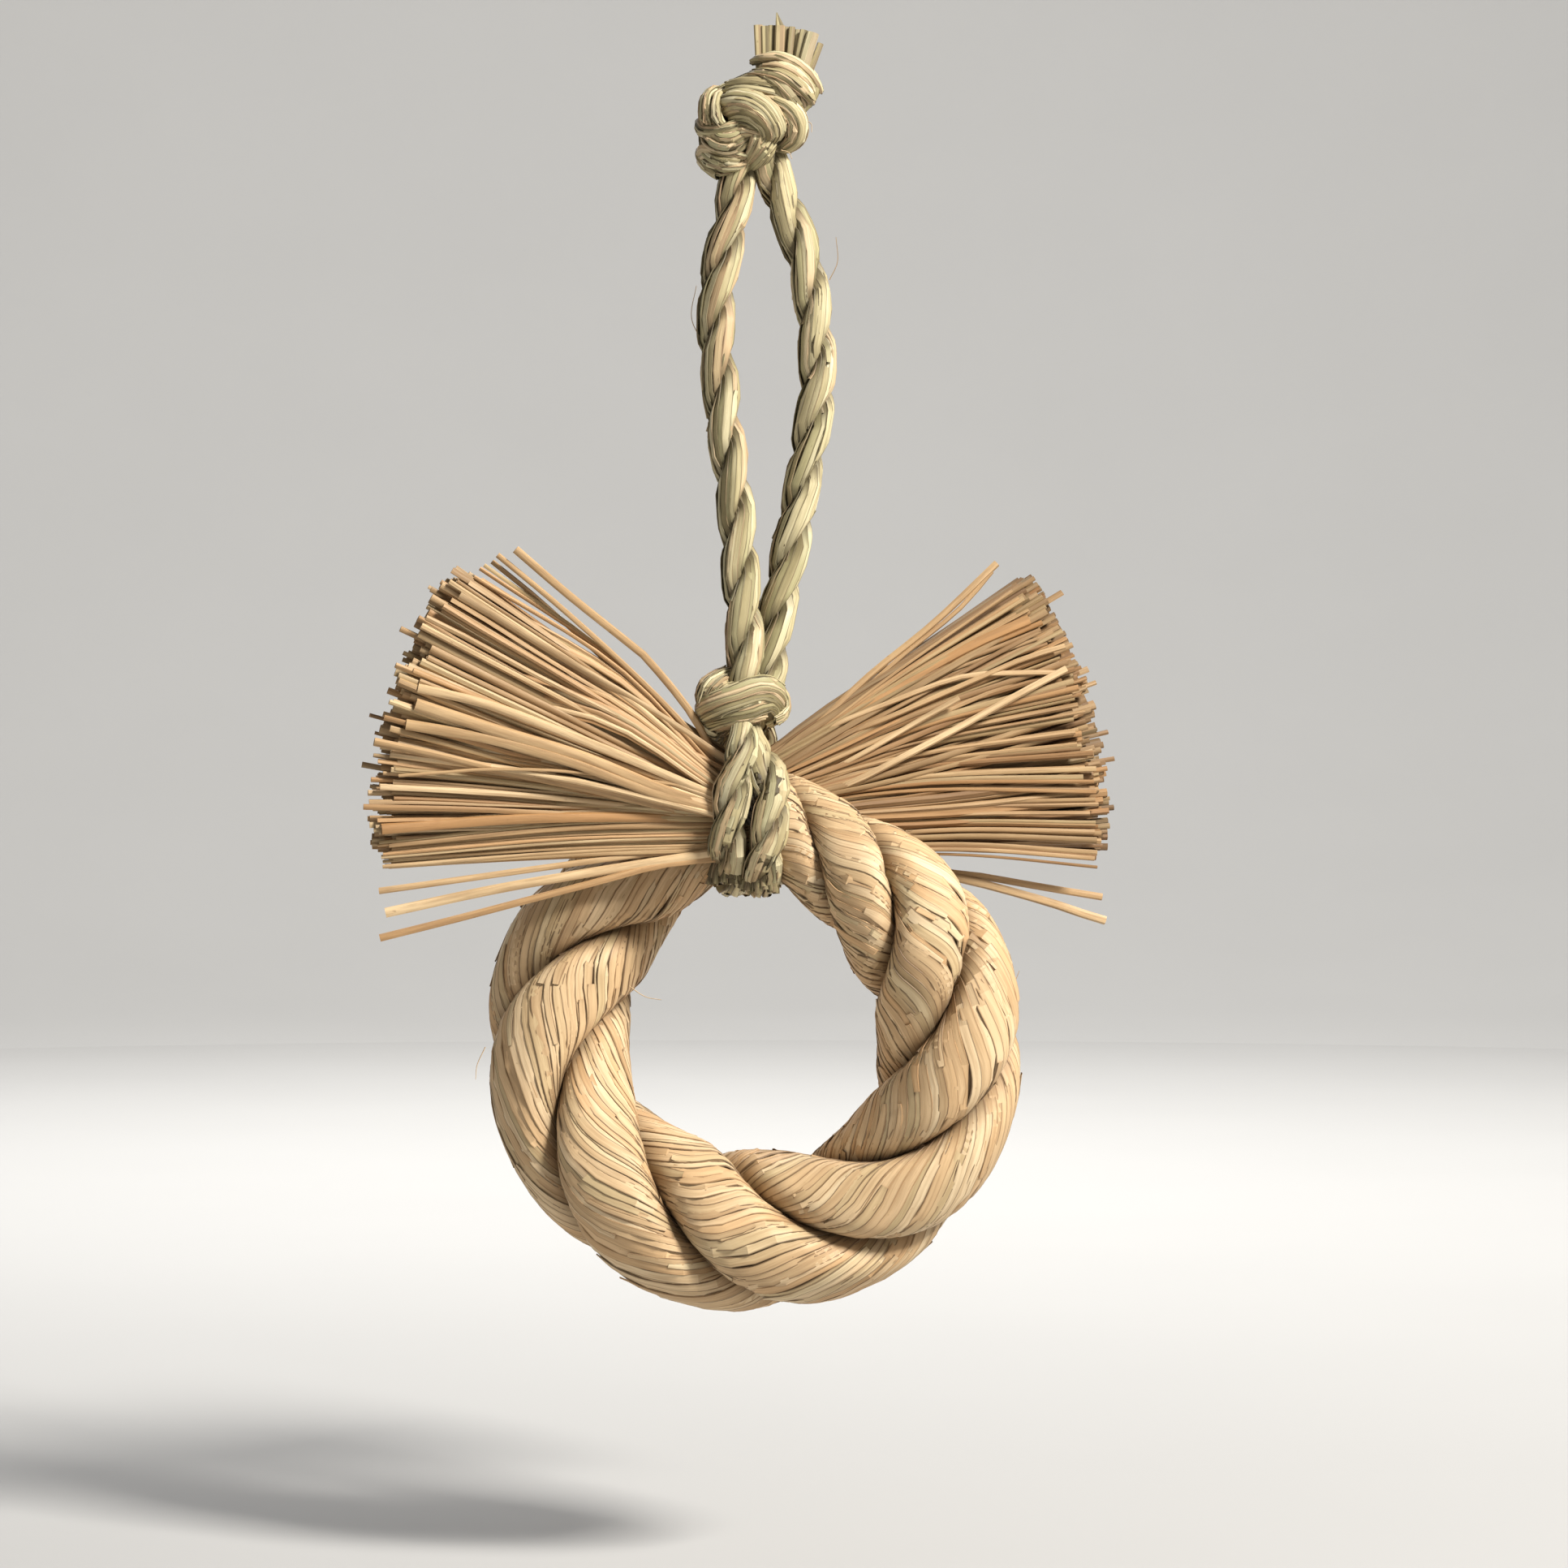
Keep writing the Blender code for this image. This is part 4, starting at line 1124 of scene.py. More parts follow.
@dataclass
class Brush:
    """A fanned brush of loose straw ends: side is -1 for the left and front one, 1 for the other."""

    rope: RingRope
    side: int
    name: str
    seed: int
    sheaves: tuple
    reaches: tuple[float, float]
    tones: tuple[float, float]
    # How light the innermost stalks are painted, as shade inside the brush.
    inner_painted_light: float
    length: float = 0.0725
    tip_height: float = 0.0715
    tip_depth: float = 0.021
    back_lean: float = 0.18
    clearance: float = 0.0009
    root: float = -0.006
    waver: float = 0.0009
    long_chance: float = 0.04
    longer: float = 0.05

    def __post_init__(self) -> None:
        """Works out where the stalks spring from."""
        rope = self.rope
        self.lean = math.radians(rope.end_lean)
        half, tip = rope.end_height / 2, self.tip_height / 2
        self.root_reach = half * self.length / (tip - half)
        self.half_angle = math.atan2(half, self.root_reach)
        bow = self.root_reach * (1 - math.cos(self.half_angle))
        start = rope.end(self.side) + self.heading(np.array(0.0)) * (self.clearance + bow)
        self.focus = start - self.heading(np.array(0.0)) * self.root_reach
        self.edge = (rope.end_depth + rope.touch_gap) / 2

    def heading(self, fan: np.ndarray) -> np.ndarray:
        """The direction of a stalk: fan runs from -1 at the lower edge to 1 at the upper one."""
        angle = self.lean + self.half_angle * fan
        return np.stack((self.side * np.cos(angle), 0 * angle, np.sin(angle)), axis=-1)

    def place(self, out: np.ndarray, fan: np.ndarray, layer: np.ndarray) -> np.ndarray:
        """Points of the fan.

        Args:
            out: distances out from the rope's end.
            fan: places across the fan, from -1 to 1.
            layer: places through its depth, from -1 to 1.

        Returns:
            The points.
        """
        depth = self.rope.end_depth
        half_depth = (depth + (self.tip_depth - depth) * out / self.length) / 2
        middle = self.edge + self.back_lean * np.maximum(out, 0)
        point = self.focus + self.heading(fan) * (self.root_reach + out)[..., None]
        return point - FRONT * (self.side * (middle + layer * half_depth))[..., None]

    def stalk(
        self, mesh: StrawMesh, chance: random.Random, fans: tuple, layers: tuple, bow: float, reach: float,
        radius: float,
    ) -> None:
        """Adds one stalk.

        Args:
            mesh: where it goes.
            chance: the source of chance.
            fans: its place across the fan at root and tip.
            layers: its place through the depth at root and tip.
            bow: how far it sags midway, in metres.
            reach: how far out it ends.
            radius: its thickness's half.
        """
        t = np.linspace(0, 1, 9)[:, None]
        root, mid, tip = self.place(
            np.array((self.root, 0.0, reach)), np.array((fans[0], fans[0], fans[1])),
            np.array((layers[0], layers[0], layers[1])),
        )
        wave = np.array((chance.uniform(-1, 1), chance.uniform(-0.6, 0.6), chance.uniform(-1, 1)))
        wave *= self.waver
        sag = np.array((0.0, 0.0, -bow))
        line = mid + (tip - mid) * t + (wave + sag) * np.sin(math.pi * t) + wave * 0.4 * np.sin(8 * t)
        # Stalks deeper inside the brush are painted darker as shade.
        painted_openness = self.inner_painted_light + (1 - self.inner_painted_light) * min(1.0, abs(layers[1])) ** 1.4
        tone = (chance.uniform(*self.tones), chance.random(), chance.uniform(0.88, 1.0) * painted_openness)
        flat = chance.choice((1.0, 0.9, 0.8, 0.5, 0.35))
        thin = chance.uniform(0.65, 0.85) * radius
        stalk = Stalk(thin, flat, 7, chance.uniform(-0.6, 0.6), radius / thin, tone)
        stalk.run(mesh, np.vstack((root[None], line)))

    def build(self, finish: bpy.types.Material, front: tuple, strays: tuple) -> bpy.types.Object:
        """Builds the brush.

        Args:
            finish: its straw.
            front: the groups on its front.
            strays: stalks out of the fan, each with its radius and its line traced from the photograph.

        Returns:
            The brush.
        """
        chance = random.Random(self.seed)
        mesh = StrawMesh()
        for sheaf in self.sheaves:
            for k in range(sheaf.count):
                reach = chance.uniform(*self.reaches)
                reach = self.length * (reach + (self.longer if chance.random() < self.long_chance else 0))
                share = (k * GOLDEN_SHARE + 0.3) % 1.0
                root = sheaf.roots[0] + (sheaf.roots[1] - sheaf.roots[0]) * share
                tip = sheaf.tips[0] + (sheaf.tips[1] - sheaf.tips[0]) * share + chance.uniform(-0.05, 0.05)
                room = math.sqrt(max(0.08, 1 - min(1, abs(tip)) ** 4))
                layer = chance.uniform(*sheaf.layers) * room
                self.stalk(
                    mesh, chance, (root + chance.uniform(-0.05, 0.05), tip), (layer * 0.9, layer), sheaf.bow,
                    reach, chance.choice(sheaf.radii),
                )
        for sheaf in front:
            sheaf.spread(mesh, chance, self.tones)
        for radius, lightness, hue, pixels in strays:
            stalk = Stalk(radius * MM * 0.9, flatness=0.9, sides=7, taper=1.1, tone=(lightness, hue, 1.0))
            stalk.run(mesh, traced(pixels, 14))
        thing = mesh.build(f"{self.name}_stalks", finish, 50)
        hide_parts(self.name)
        return thing


@dataclass
class HangingCord:
    """The two-ply straw cord: its two legs, its turns round the crossing and its routes."""

    diameter: float = 0.0082
    pitch: float = 0.030
    wrap_flatness: float = 0.64
    wrap_start_share: float = 0.7
    wrap_start_length: float = 0.0125
    end_stub: float = 0.5
    point_step: float = 2 * 0.0082
    straw_count: int = 12
    straw_width: float = 0.0019
    straw_step: float = 0.0014
    wrap_pitch: float = 0.025
    tucked_in: float = 0.006
    ply_reach: float = 0.47
    ply_thickness: float = 0.53
    ply_width: float = 0.72
    # How strongly painted shade darkens the straws between the plies.
    painted_valley_shade: float = 0.75
    crisp: float = 0.7
    straw_turn: float = 1.15
    # The heart under the straws, painted dark as shade in the gaps: its share of the skin's size, the
    # distance between its rings, its sides, its tone.
    core: tuple = (0.9, 0.0024, 14, (0.2, 0.4, 0.2))
    short_straws: int = 8
    crease_angle: float = 24
    left_leg: tuple = (
        (-2.6, -1.0, 10.0), (-3.8, -1.0, 4.5), (-4.8, -1.0, -1.5), (-5.8, -1.0, -8.7), (-8.1, -1.0, -18.8),
        (-9.2, -1.5, -29.0), (-9.2, -2.0, -39.0), (-8.3, -2.5, -47.0), (-7.5, -3.0, -56.0),
        (-5.6, -3.8, -68.3),
        (-4.1, -5.2, -82.6), (-3.6, -7.0, -92.2), (-2.9, -8.6, -100.5), (-2.6, -10.1, -107.5),
        (-2.8, -10.6, -113.5), (-3.2, -9.6, -120.0),
    )
    right_leg: tuple = (
        (1.4, 0.0, 10.0), (3.4, 0.0, 4.2), (5.0, 0.0, -1.2), (7.2, 0.0, -6.8), (10.5, 0.0, -15.4),
        (12.8, 0.0, -25.6), (13.9, 0.0, -36.6), (14.2, 0.0, -47.5), (12.6, -0.2, -59.0), (10.6, -0.4, -70.5),
        (8.4, -0.8, -82.5), (6.2, -1.4, -93.5), (4.4, -1.6, -101.5), (3.4, -1.2, -108.0), (2.4, -1.8, -113.8),
        (0.6, -3.6, -119.5),
    )
    left_wrap: tuple = (
        (-2.8, -14.6, -126.4), (-2.9, -17.0, -130.0), (-3.5, -18.2, -134.0), (-5.0, -18.6, -139.5),
        (-5.9, -18.4, -145.0), (-6.4, -17.8, -150.5), (-6.7, -15.8, -155.2), (-6.4, -10.0, -159.4),
        (-5.9, -3.0, -161.8), (-5.4, 4.0, -163.2), (-5.2, 10.5, -162.2), (-5.4, 16.2, -157.4),
        (-5.8, 18.4, -150.5), (-6.0, 18.4, -143.0), (-6.8, 17.0, -136.4), (-7.6, 12.6, -131.2),
        (-7.2, 6.5, -127.8), (-6.6, 2.5, -126.0),
        (-5.8, -1.0, -123.6), (-5.0, -4.0, -121.2),
    )
    right_wrap: tuple = (
        (-2.2, -8.8, -126.0), (-1.2, -10.4, -130.0), (1.8, -14.8, -134.8), (3.6, -18.0, -139.5),
        (3.7, -18.4, -145.0), (3.0, -18.2, -151.0), (1.8, -16.6, -157.2), (1.4, -10.5, -162.0),
        (2.2, -3.0, -162.4), (3.2, 4.0, -160.6), (3.7, 10.5, -158.0), (3.9, 16.2, -153.2),
        (3.7, 18.4, -146.5),
        (2.6, 18.4, -138.5), (1.4, 16.6, -131.4), (0.0, 12.0, -126.8), (-0.6, 6.8, -124.8),
        (-0.9, 2.0, -122.8), (-1.2, -3.0, -120.8),
    )

    def ply(
        self, line: np.ndarray, outward: np.ndarray, front: np.ndarray, index: int, turn: float,
        pitch: float, size: np.ndarray, flat: float,
    ) -> Skin:
        """One ply's skin.

        Args:
            line: the cord's middle line.
            outward: one axis across it at each point.
            front: the other axis.
            index: which ply, 0 or 1.
            turn: the lay's turn at the start.
            pitch: how long one whole turn of the plies is.
            size: the cord's thickness there as a share of its full one.
            flat: how flat the cord is pressed along its outward axis.

        Returns:
            The skin.
        """
        radius = self.diameter / 2
        phase = 2 * math.pi * distances(line) / pitch + turn + math.pi * index
        return Skin(
            line, outward, front, phase, size * flat, size, radius * self.ply_reach,
            radius * self.ply_thickness, radius * self.ply_width, self.painted_valley_shade, self.crisp,
        )

    def plies(self, mesh: StrawMesh, skins: list[Skin], seed: int) -> None:
        """Builds both plies out of flat straws.

        Args:
            mesh: where they go.
            skins: the plies' skins.
            seed: the source of chance's seed.
        """
        for k, skin in enumerate(skins):
            skin.core(mesh, *self.core)
            twist = -self.straw_turn * (skin.phase - skin.phase[0])
            lay = LayOfStraws(
                self.straw_count, self.straw_width, self.straw_step, seed + k, spread=0.4, lift=0.00026,
                tilt=0.0003, creased=0.4, crease=(0.003, 0.006), wander=0.06, tones=(0.2, 0.95),
                fold_reach=(0.0012, 0.0024),
            )
            lay.cover(mesh, skin, twist, self.short_straws)

    def leg(self, name: str, route: tuple, turn: float, seed: int, finish: bpy.types.Material) -> tuple:
        """Builds one leg of the loop.

        Args:
            name: the leg's name.
            route: its route in millimetres, from the top knot down.
            turn: the lay's turn at the start.
            seed: the source of chance's seed.
            finish: its straw.

        Returns:
            The leg and its middle line from the lower knot up.
        """
        line = smooth_line(np.array(route) * MM, 160)
        along = distances(line)
        stub = self.point_step * self.end_stub - self.tucked_in
        keep = (along > stub) & (along < along[-1] - stub)
        side = np.cross(np.cross(directions(line), (1.0, 0, 0)), directions(line))
        outward = unit(-side)
        front = np.cross(directions(line), outward)
        phase_start = turn + 2 * math.pi * along[keep][0] / self.pitch
        size = np.ones(int(keep.sum()))
        skins = [
            self.ply(line[keep], outward[keep], front[keep], k, phase_start, self.pitch, size, 1.0)
            for k in (0, 1)
        ]
        mesh = StrawMesh()
        self.plies(mesh, skins, seed)
        thing = mesh.build(f"{name}_plies", finish, self.crease_angle)
        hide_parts(name)
        return thing, line[keep][::-1]

    def wrap(self, route: tuple, centre: np.ndarray, turn: float, seed: int, mesh: StrawMesh) -> None:
        """Adds one turn of the cord round the crossed ends.

        Args:
            route: its route in millimetres.
            centre: the middle of what it is bound round.
            turn: the lay's turn at the start.
            seed: the source of chance's seed.
            mesh: where it goes.
        """
        line = smooth_line(np.array(route) * MM, 150)
        ahead = directions(line)
        out = line - centre
        out = unit(out - ahead * np.sum(out * ahead, axis=1)[:, None])
        side = np.cross(ahead, out)
        grown = smooth_step(distances(line) / self.wrap_start_length)
        size = self.wrap_start_share + (1 - self.wrap_start_share) * grown
        skins = [
            self.ply(line, out, side, k, turn, self.wrap_pitch, size, self.wrap_flatness) for k in (0, 1)
        ]
        self.plies(mesh, skins, seed)


@dataclass
class Knot:
    """A knot of flat straw bands round inner hearts painted half in shade: its front traced, its back and
    sides made up.
    """

    centre: tuple
    hearts: tuple
    bands: tuple
    flanks: tuple
    seed: int
    band_flatness: float = 0.55
    straw_width: float = 0.00135
    straw_space: float = 0.00082
    band_turn: float = 1.1
    back_share: float = 0.92
    # The heart under the straws, painted dark as shade in the gaps: its share of the skin's size, the
    # distance between its rings, its sides, its tone.
    core: tuple = (0.86, 0.0015, 12, (0.2, 0.4, 0.3))
    # The hearts show through the gaps between the bands, painted half toward shade.
    heart_tone: tuple = (0.3, 0.4, 0.5)
    straw_step: float = 0.001
    short_straws: int = 3

    def behind(self) -> tuple:
        """The bands on the back: those of the front turned over."""
        middle = self.centre[2]
        bands = []
        for width, route in self.bands:
            turned = tuple((x, y, middle - (depth - middle) * self.back_share) for x, y, depth in route)
            bands.append((width, turned))
        return tuple(bands)

    def skin(self, half_width: float, route: tuple) -> Skin:
        """One band's skin.

        Args:
            half_width: the band's half width in millimetres.
            route: its traced route.

        Returns:
            The skin.
        """
        line = traced(route, 60)
        ahead = directions(line)
        out = line - at_pixel(*self.centre[:2], self.centre[2] * MM)
        out = unit(out - ahead * np.sum(out * ahead, axis=1)[:, None])
        side = np.cross(ahead, out)
        share = np.linspace(0, 1, len(line))
        size = half_width * MM * (0.7 + 0.3 * np.sqrt(np.maximum(0, np.sin(math.pi * share))))
        phase = np.zeros(len(line))
        return Skin(line, out, side, phase, size, size, 0.0, self.band_flatness, 1.0, crisp=0.5)

    def dress(self, mesh: StrawMesh) -> None:
        """Adds the hearts and the bands.

        Args:
            mesh: where they go.
        """
        polar = np.linspace(0.05, math.pi - 0.05, 9)[:, None]
        around = np.linspace(0, 2 * math.pi, 14, endpoint=False)[None, :]
        polar, around = np.broadcast_arrays(polar, around)
        reach = np.sin(polar)
        ball = np.stack((reach * np.cos(around), reach * np.sin(around), np.cos(polar)), axis=-1)
        for across, down, depth, *size in self.hearts:
            heart = at_pixel(across, down, depth * MM) + ball * np.array(size) * MM
            mesh.grid(heart, self.heart_tone, closed=True)
        for k, (half_width, route) in enumerate(self.bands + self.behind() + self.flanks):
            skin = self.skin(half_width, route)
            skin.core(mesh, *self.core)
            girth = 2 * math.pi * half_width * MM * math.sqrt((1 + self.band_flatness**2) / 2)
            lay = LayOfStraws(
                max(6, round(girth / self.straw_space)), self.straw_width, self.straw_step,
                self.seed + k, spread=0.45, lift=0.00026, tilt=0.00028, creased=0.35, crease=(0.002, 0.004),
                wander=0.08, tones=(0.15, 0.95), fold_reach=(0.0007, 0.0014),
            )
            twist = np.linspace(0, self.band_turn, len(skin.line))
            lay.cover(mesh, skin, twist, self.short_straws)


TOP_KNOT = Knot(
    (934, 142, 0),
    (
        (938, 142, 0, 8.6, 6.2, 8.4), (896, 166, 0, 5.2, 4.6, 8.6), (968, 108, 1, 5.2, 4.6, 6.0),
        (960, 158, 1, 4.4, 4.4, 4.6), (926, 166, 3, 4.4, 5.0, 5.0),
    ),
    (
        (1.6, ((930, 76, 0), (940, 72, 4), (958, 69, 5.4), (978, 75, 5.6), (993, 85, 4.6), (1003, 97, 2.6),
               (1010, 111, 0))),
        (1.4, ((938, 84, 4), (958, 80, 6), (978, 86, 6.4), (992, 97, 5.6), (1002, 111, 3.6))),
        (1.7, ((927, 92, 3), (942, 90, 6.6), (957, 91, 8), (972, 97, 8.4), (985, 106, 8), (996, 116, 6.4),
               (1000, 124, 3.6))),
        (1.8, ((940, 94, 6.6), (955, 98, 7.6), (970, 108, 8), (982, 120, 7.4), (989, 131, 4.6))),
        (1.7, ((945, 98, 6), (958, 107, 7.2), (970, 121, 7.2), (980, 133, 5.6), (985, 141, 2.6))),
        (1.3, ((896, 106, 4), (915, 101, 6.6), (935, 101, 7.6), (955, 103, 7.2), (968, 108, 5.6))),
        (1.3, ((893, 113, 4), (912, 108, 7.2), (935, 109, 8.2), (958, 113, 7.6), (970, 119, 5.6))),
        (1.4, ((922, 117, 7), (945, 119, 8), (962, 122, 7.6), (975, 128, 5.6))),
        (2.0, ((888, 131, 4), (894, 124, 7.2), (910, 120, 9), (928, 122, 10), (944, 131, 10.2),
               (956, 146, 9.8), (961, 160, 8.4), (957, 170, 5.6))),
        (1.8, ((893, 137, 6), (905, 130, 9), (922, 131, 10.4), (937, 139, 10.6), (948, 151, 10.4),
               (954, 163, 9), (950, 172, 6))),
        (1.6, ((900, 147, 6.6), (912, 142, 9.4), (926, 144, 10.6), (938, 152, 10.6), (946, 163, 9.4),
               (944, 173, 6.4))),
        (1.7, ((940, 120, 7), (960, 123, 8.4), (975, 132, 8), (985, 145, 7), (988, 160, 5.6),
               (984, 173, 4.2), (975, 181, 2.6), (962, 185, 0.4))),
        (1.7, ((955, 131, 7.8), (968, 137, 8.2), (977, 148, 7.4), (980, 160, 6.6), (976, 172, 4.8),
               (967, 180, 2.8))),
        (1.6, ((884, 114, -1), (876, 115, 2.6), (869, 122, 5), (868, 137, 6.6), (869, 150, 6.2),
               (876, 157, 5.8), (888, 156, 6.6))),
        (1.5, ((889, 117, 2), (882, 122, 5.8), (880, 134, 7.6), (882, 147, 8), (890, 155, 8.2))),
        (1.4, ((880, 148, -3), (865, 152, 0), (862, 158, 3), (869, 164, 5.8), (885, 163, 7.6),
               (903, 158, 8.6), (915, 154, 8.2))),
        (1.5, ((868, 166, 2), (872, 176, 5.6), (884, 183, 7.2), (900, 184, 7.8), (912, 178, 7.8),
               (920, 168, 7.2))),
        (1.4, ((877, 167, 6.2), (890, 173, 8), (905, 171, 8.6), (918, 162, 8))),
        (1.7, ((884, 216, -5), (868, 203, -2), (866, 192, 2), (873, 187, 4.8), (890, 190, 6.2),
               (908, 193, 6), (918, 192, 4.4))),
        (1.6, ((868, 198, 0), (874, 206, 3.8), (888, 210, 5), (905, 208, 5), (916, 201, 3.8))),
        (1.4, ((868, 190, 3), (880, 198, 5.8), (895, 201, 6.4), (910, 199, 5.4))),
        (1.5, ((948, 166, 6.6), (945, 176, 7.6), (937, 188, 6.6), (930, 198, 4.2), (926, 206, 1))),
        (1.4, ((934, 160, 8.6), (933, 174, 8.6), (928, 188, 6.6), (924, 199, 3.8))),
        (1.5, ((900, 169, 6.4), (914, 163, 8.4), (928, 160, 9), (940, 165, 8.6))),
        (1.3, ((953, 176, 4.6), (948, 186, 5.2), (942, 196, 4.2), (936, 206, 1.6))),
    ),
    (
        (2.4, ((985, 88, 2), (998, 98, 1.4), (1000, 112, 0.6), (990, 126, -0.4), (980, 136, -1),
               (974, 146, -1))),
        (2.6, ((976, 112, -2.4), (984, 128, -1), (983, 146, 0), (979, 162, 0.6), (968, 176, 0.6),
               (955, 184, 0))),
        (2.2, ((974, 100, 3.4), (984, 112, 2.6), (984, 126, 2), (980, 140, 1.4))),
        (2.2, ((974, 100, -3.4), (984, 112, -2.6), (984, 126, -2), (980, 140, -1.4))),
        (2.6, ((905, 106, 1), (886, 116, 0.6), (874, 126, 0), (872, 140, 0), (874, 154, 0), (870, 168, 0),
               (872, 182, 0), (876, 198, 0), (888, 206, 0))),
        (2.4, ((900, 112, 3.4), (886, 124, 3), (882, 140, 2.8), (882, 156, 2.6), (880, 174, 2.4),
               (884, 194, 2))),
        (2.4, ((900, 112, -3.4), (886, 124, -3), (882, 140, -2.8), (882, 156, -2.6), (880, 174, -2.4),
               (884, 194, -2))),
        (2.0, ((900, 108, 3), (920, 100, 3), (940, 94, 3), (958, 86, 3))),
        (2.2, ((900, 112, 0), (920, 102, 0), (940, 94, 0), (958, 84, 0))),
        (2.0, ((900, 108, -3), (920, 100, -3), (940, 94, -3), (958, 86, -3))),
    ),
    300,
)
LOWER_KNOT = Knot(
    (915, 862, 7.5),
    ((915, 862, 7.5, 7.6, 6.4, 5.6), (884, 860, 8, 4.0, 4.6, 6.0), (945, 866, 8, 4.4, 4.8, 4.4)),
    (
        (1.6, ((905, 825, 6), (890, 829, 9.6), (873, 838, 12.6), (864, 852, 13.4), (863, 866, 12.4))),
        (1.5, ((904, 833, 9), (890, 838, 12.6), (880, 847, 14.4), (873, 859, 14.6))),
        (1.4, ((903, 842, 11.6), (893, 846, 14.2), (886, 854, 15.4), (879, 863, 15.4))),
        (1.9, ((862, 881, 9), (865, 874, 13), (876, 867, 15.6), (893, 859, 16.8), (910, 853, 16.8),
               (928, 845, 16), (946, 843, 14.6), (959, 849, 12), (967, 861, 8.6))),
        (1.7, ((867, 885, 11.6), (877, 878, 15), (893, 870, 16.8), (912, 863, 16.8), (930, 856, 16),
               (947, 854, 14.4), (959, 862, 11.6), (965, 873, 8))),
        (1.6, ((869, 894, 10.6), (884, 888, 14.2), (902, 882, 16), (922, 878, 16), (937, 871, 15.2),
               (949, 867, 13), (957, 873, 10.6), (959, 885, 7.6))),
        (1.3, ((880, 899, 10.6), (892, 893, 13.8), (910, 889, 15.2), (930, 884, 14.6), (943, 880, 12.6))),
        (1.6, ((944, 843, 9), (957, 847, 9.6), (966, 858, 9.2), (968, 870, 7.6), (964, 882, 5.6),
               (954, 888, 4.6))),
        (1.4, ((863, 886, 7), (864, 897, 9.6), (873, 903, 10.6), (884, 904, 10.2), (892, 898, 10.6))),
    ),
    (
        (2.4, ((892, 838, 8), (874, 848, 8), (868, 862, 8), (870, 878, 8), (874, 892, 8), (886, 898, 8))),
        (2.4, ((940, 846, 8), (956, 854, 8), (961, 866, 7.6), (956, 880, 7), (946, 890, 6))),
        (2.2, ((895, 836, 5), (880, 848, 4.6), (874, 862, 4.4), (876, 878, 4.6), (884, 892, 5))),
        (2.2, ((938, 848, 5), (950, 858, 4.6), (952, 870, 4.4), (944, 884, 4.4))),
    ),
    400,
)


@dataclass
class CutEnds:
    """The cord's cut straws above the top knot: foot, tip, half width, half thickness, taper, lightness."""

    stalks: tuple = (
        ((0.9, 0.2, 24.0), (0.4, 0.2, 36.6), 0.95, 0.4, 1.1, 0.35),
        ((2.2, -0.2, 24.0), (2.0, -0.2, 36.3), 0.85, 0.4, 1.05, 0.45),
        ((3.4, 0.2, 24.0), (3.6, 0.2, 36.5), 0.8, 0.4, 1.1, 0.3),
        ((5.1, -0.8, 24.0), (5.5, -0.8, 36.3), 1.15, 0.45, 1.0, 0.45),
        ((5.5, -0.8, 35.6), (4.7, -0.8, 39.3), 1.15, 0.45, 0.1, 0.45),
        ((6.3, 0.6, 24.0), (7.0, 0.6, 36.2), 0.75, 0.7, 1.0, 0.6),
        ((7.2, -0.5, 24.0), (8.3, -0.5, 36.0), 0.75, 0.6, 1.0, 0.5),
        ((8.2, 0.8, 24.0), (9.8, 0.8, 35.6), 0.8, 0.7, 1.0, 0.7),
        ((8.4, -0.9, 22.0), (11.0, -0.9, 35.2), 0.9, 0.8, 1.0, 0.55),
        ((9.2, -1.6, 21.0), (13.1, -1.6, 34.4), 1.45, 1.25, 1.0, 1.0),
        ((10.6, 0.6, 21.0), (14.9, 0.6, 32.4), 0.75, 0.7, 1.0, 0.6),
    )

    def dress(self, mesh: StrawMesh, chance: random.Random) -> None:
        """Adds the cut straws.

        Args:
            mesh: where they go.
            chance: the source of chance.
        """
        for foot, tip, half_width, half_thickness, taper, lightness in self.stalks:
            line = smooth_line(np.array((foot, tip)) * MM, 8)
            tone = (lightness, chance.uniform(0.3, 0.85), 1.0)
            flat = half_thickness / half_width
            Stalk(half_width * MM, flat, sides=8, taper=taper, tone=tone).run(mesh, line)


@dataclass
class FrayedEnd:
    """A turn's cut end, a short pleated fan of fine straws that points down."""

    foot: tuple
    height: float = 0.0056
    top_width: float = 0.0056
    width: float = 0.0084
    depth: float = 0.0046
    straws: int = 80
    radii: tuple = (0.0004, 0.0007)

    def dress(self, mesh: StrawMesh, chance: random.Random) -> None:
        """Adds the frayed straws.

        Args:
            mesh: where they go.
            chance: the source of chance.
        """
        foot = np.array(self.foot) * MM
        for k in range(self.straws):
            angle = 2 * math.pi * (k + chance.random()) / self.straws
            inner = chance.uniform(0.55, 1.0)
            out = np.array((math.cos(angle), math.sin(angle), 0.0))
            top = out * (self.top_width / 2, self.depth / 2, 0) * inner
            low = out * (self.width / 2, self.depth / 2, 0) * inner * chance.uniform(0.9, 1.2)
            low[2] = -self.height * chance.uniform(0.65, 1.08)
            bend = (top + low) / 2 + out * chance.uniform(-0.2, 0.4) * MM
            line = smooth_line(foot + np.array((top + (0, 0, 0.002), top, bend, low)), 8)
            # The frayed straws are dark in tone and painted partly in shade too.
            tone = (chance.uniform(0.0, 0.35), chance.uniform(0.3, 0.7), chance.uniform(0.4, 0.8))
            radius = chance.uniform(*self.radii)
            Stalk(radius, 0.3, 6, chance.uniform(-0.8, 0.8), 1.2, tone).run(mesh, line)


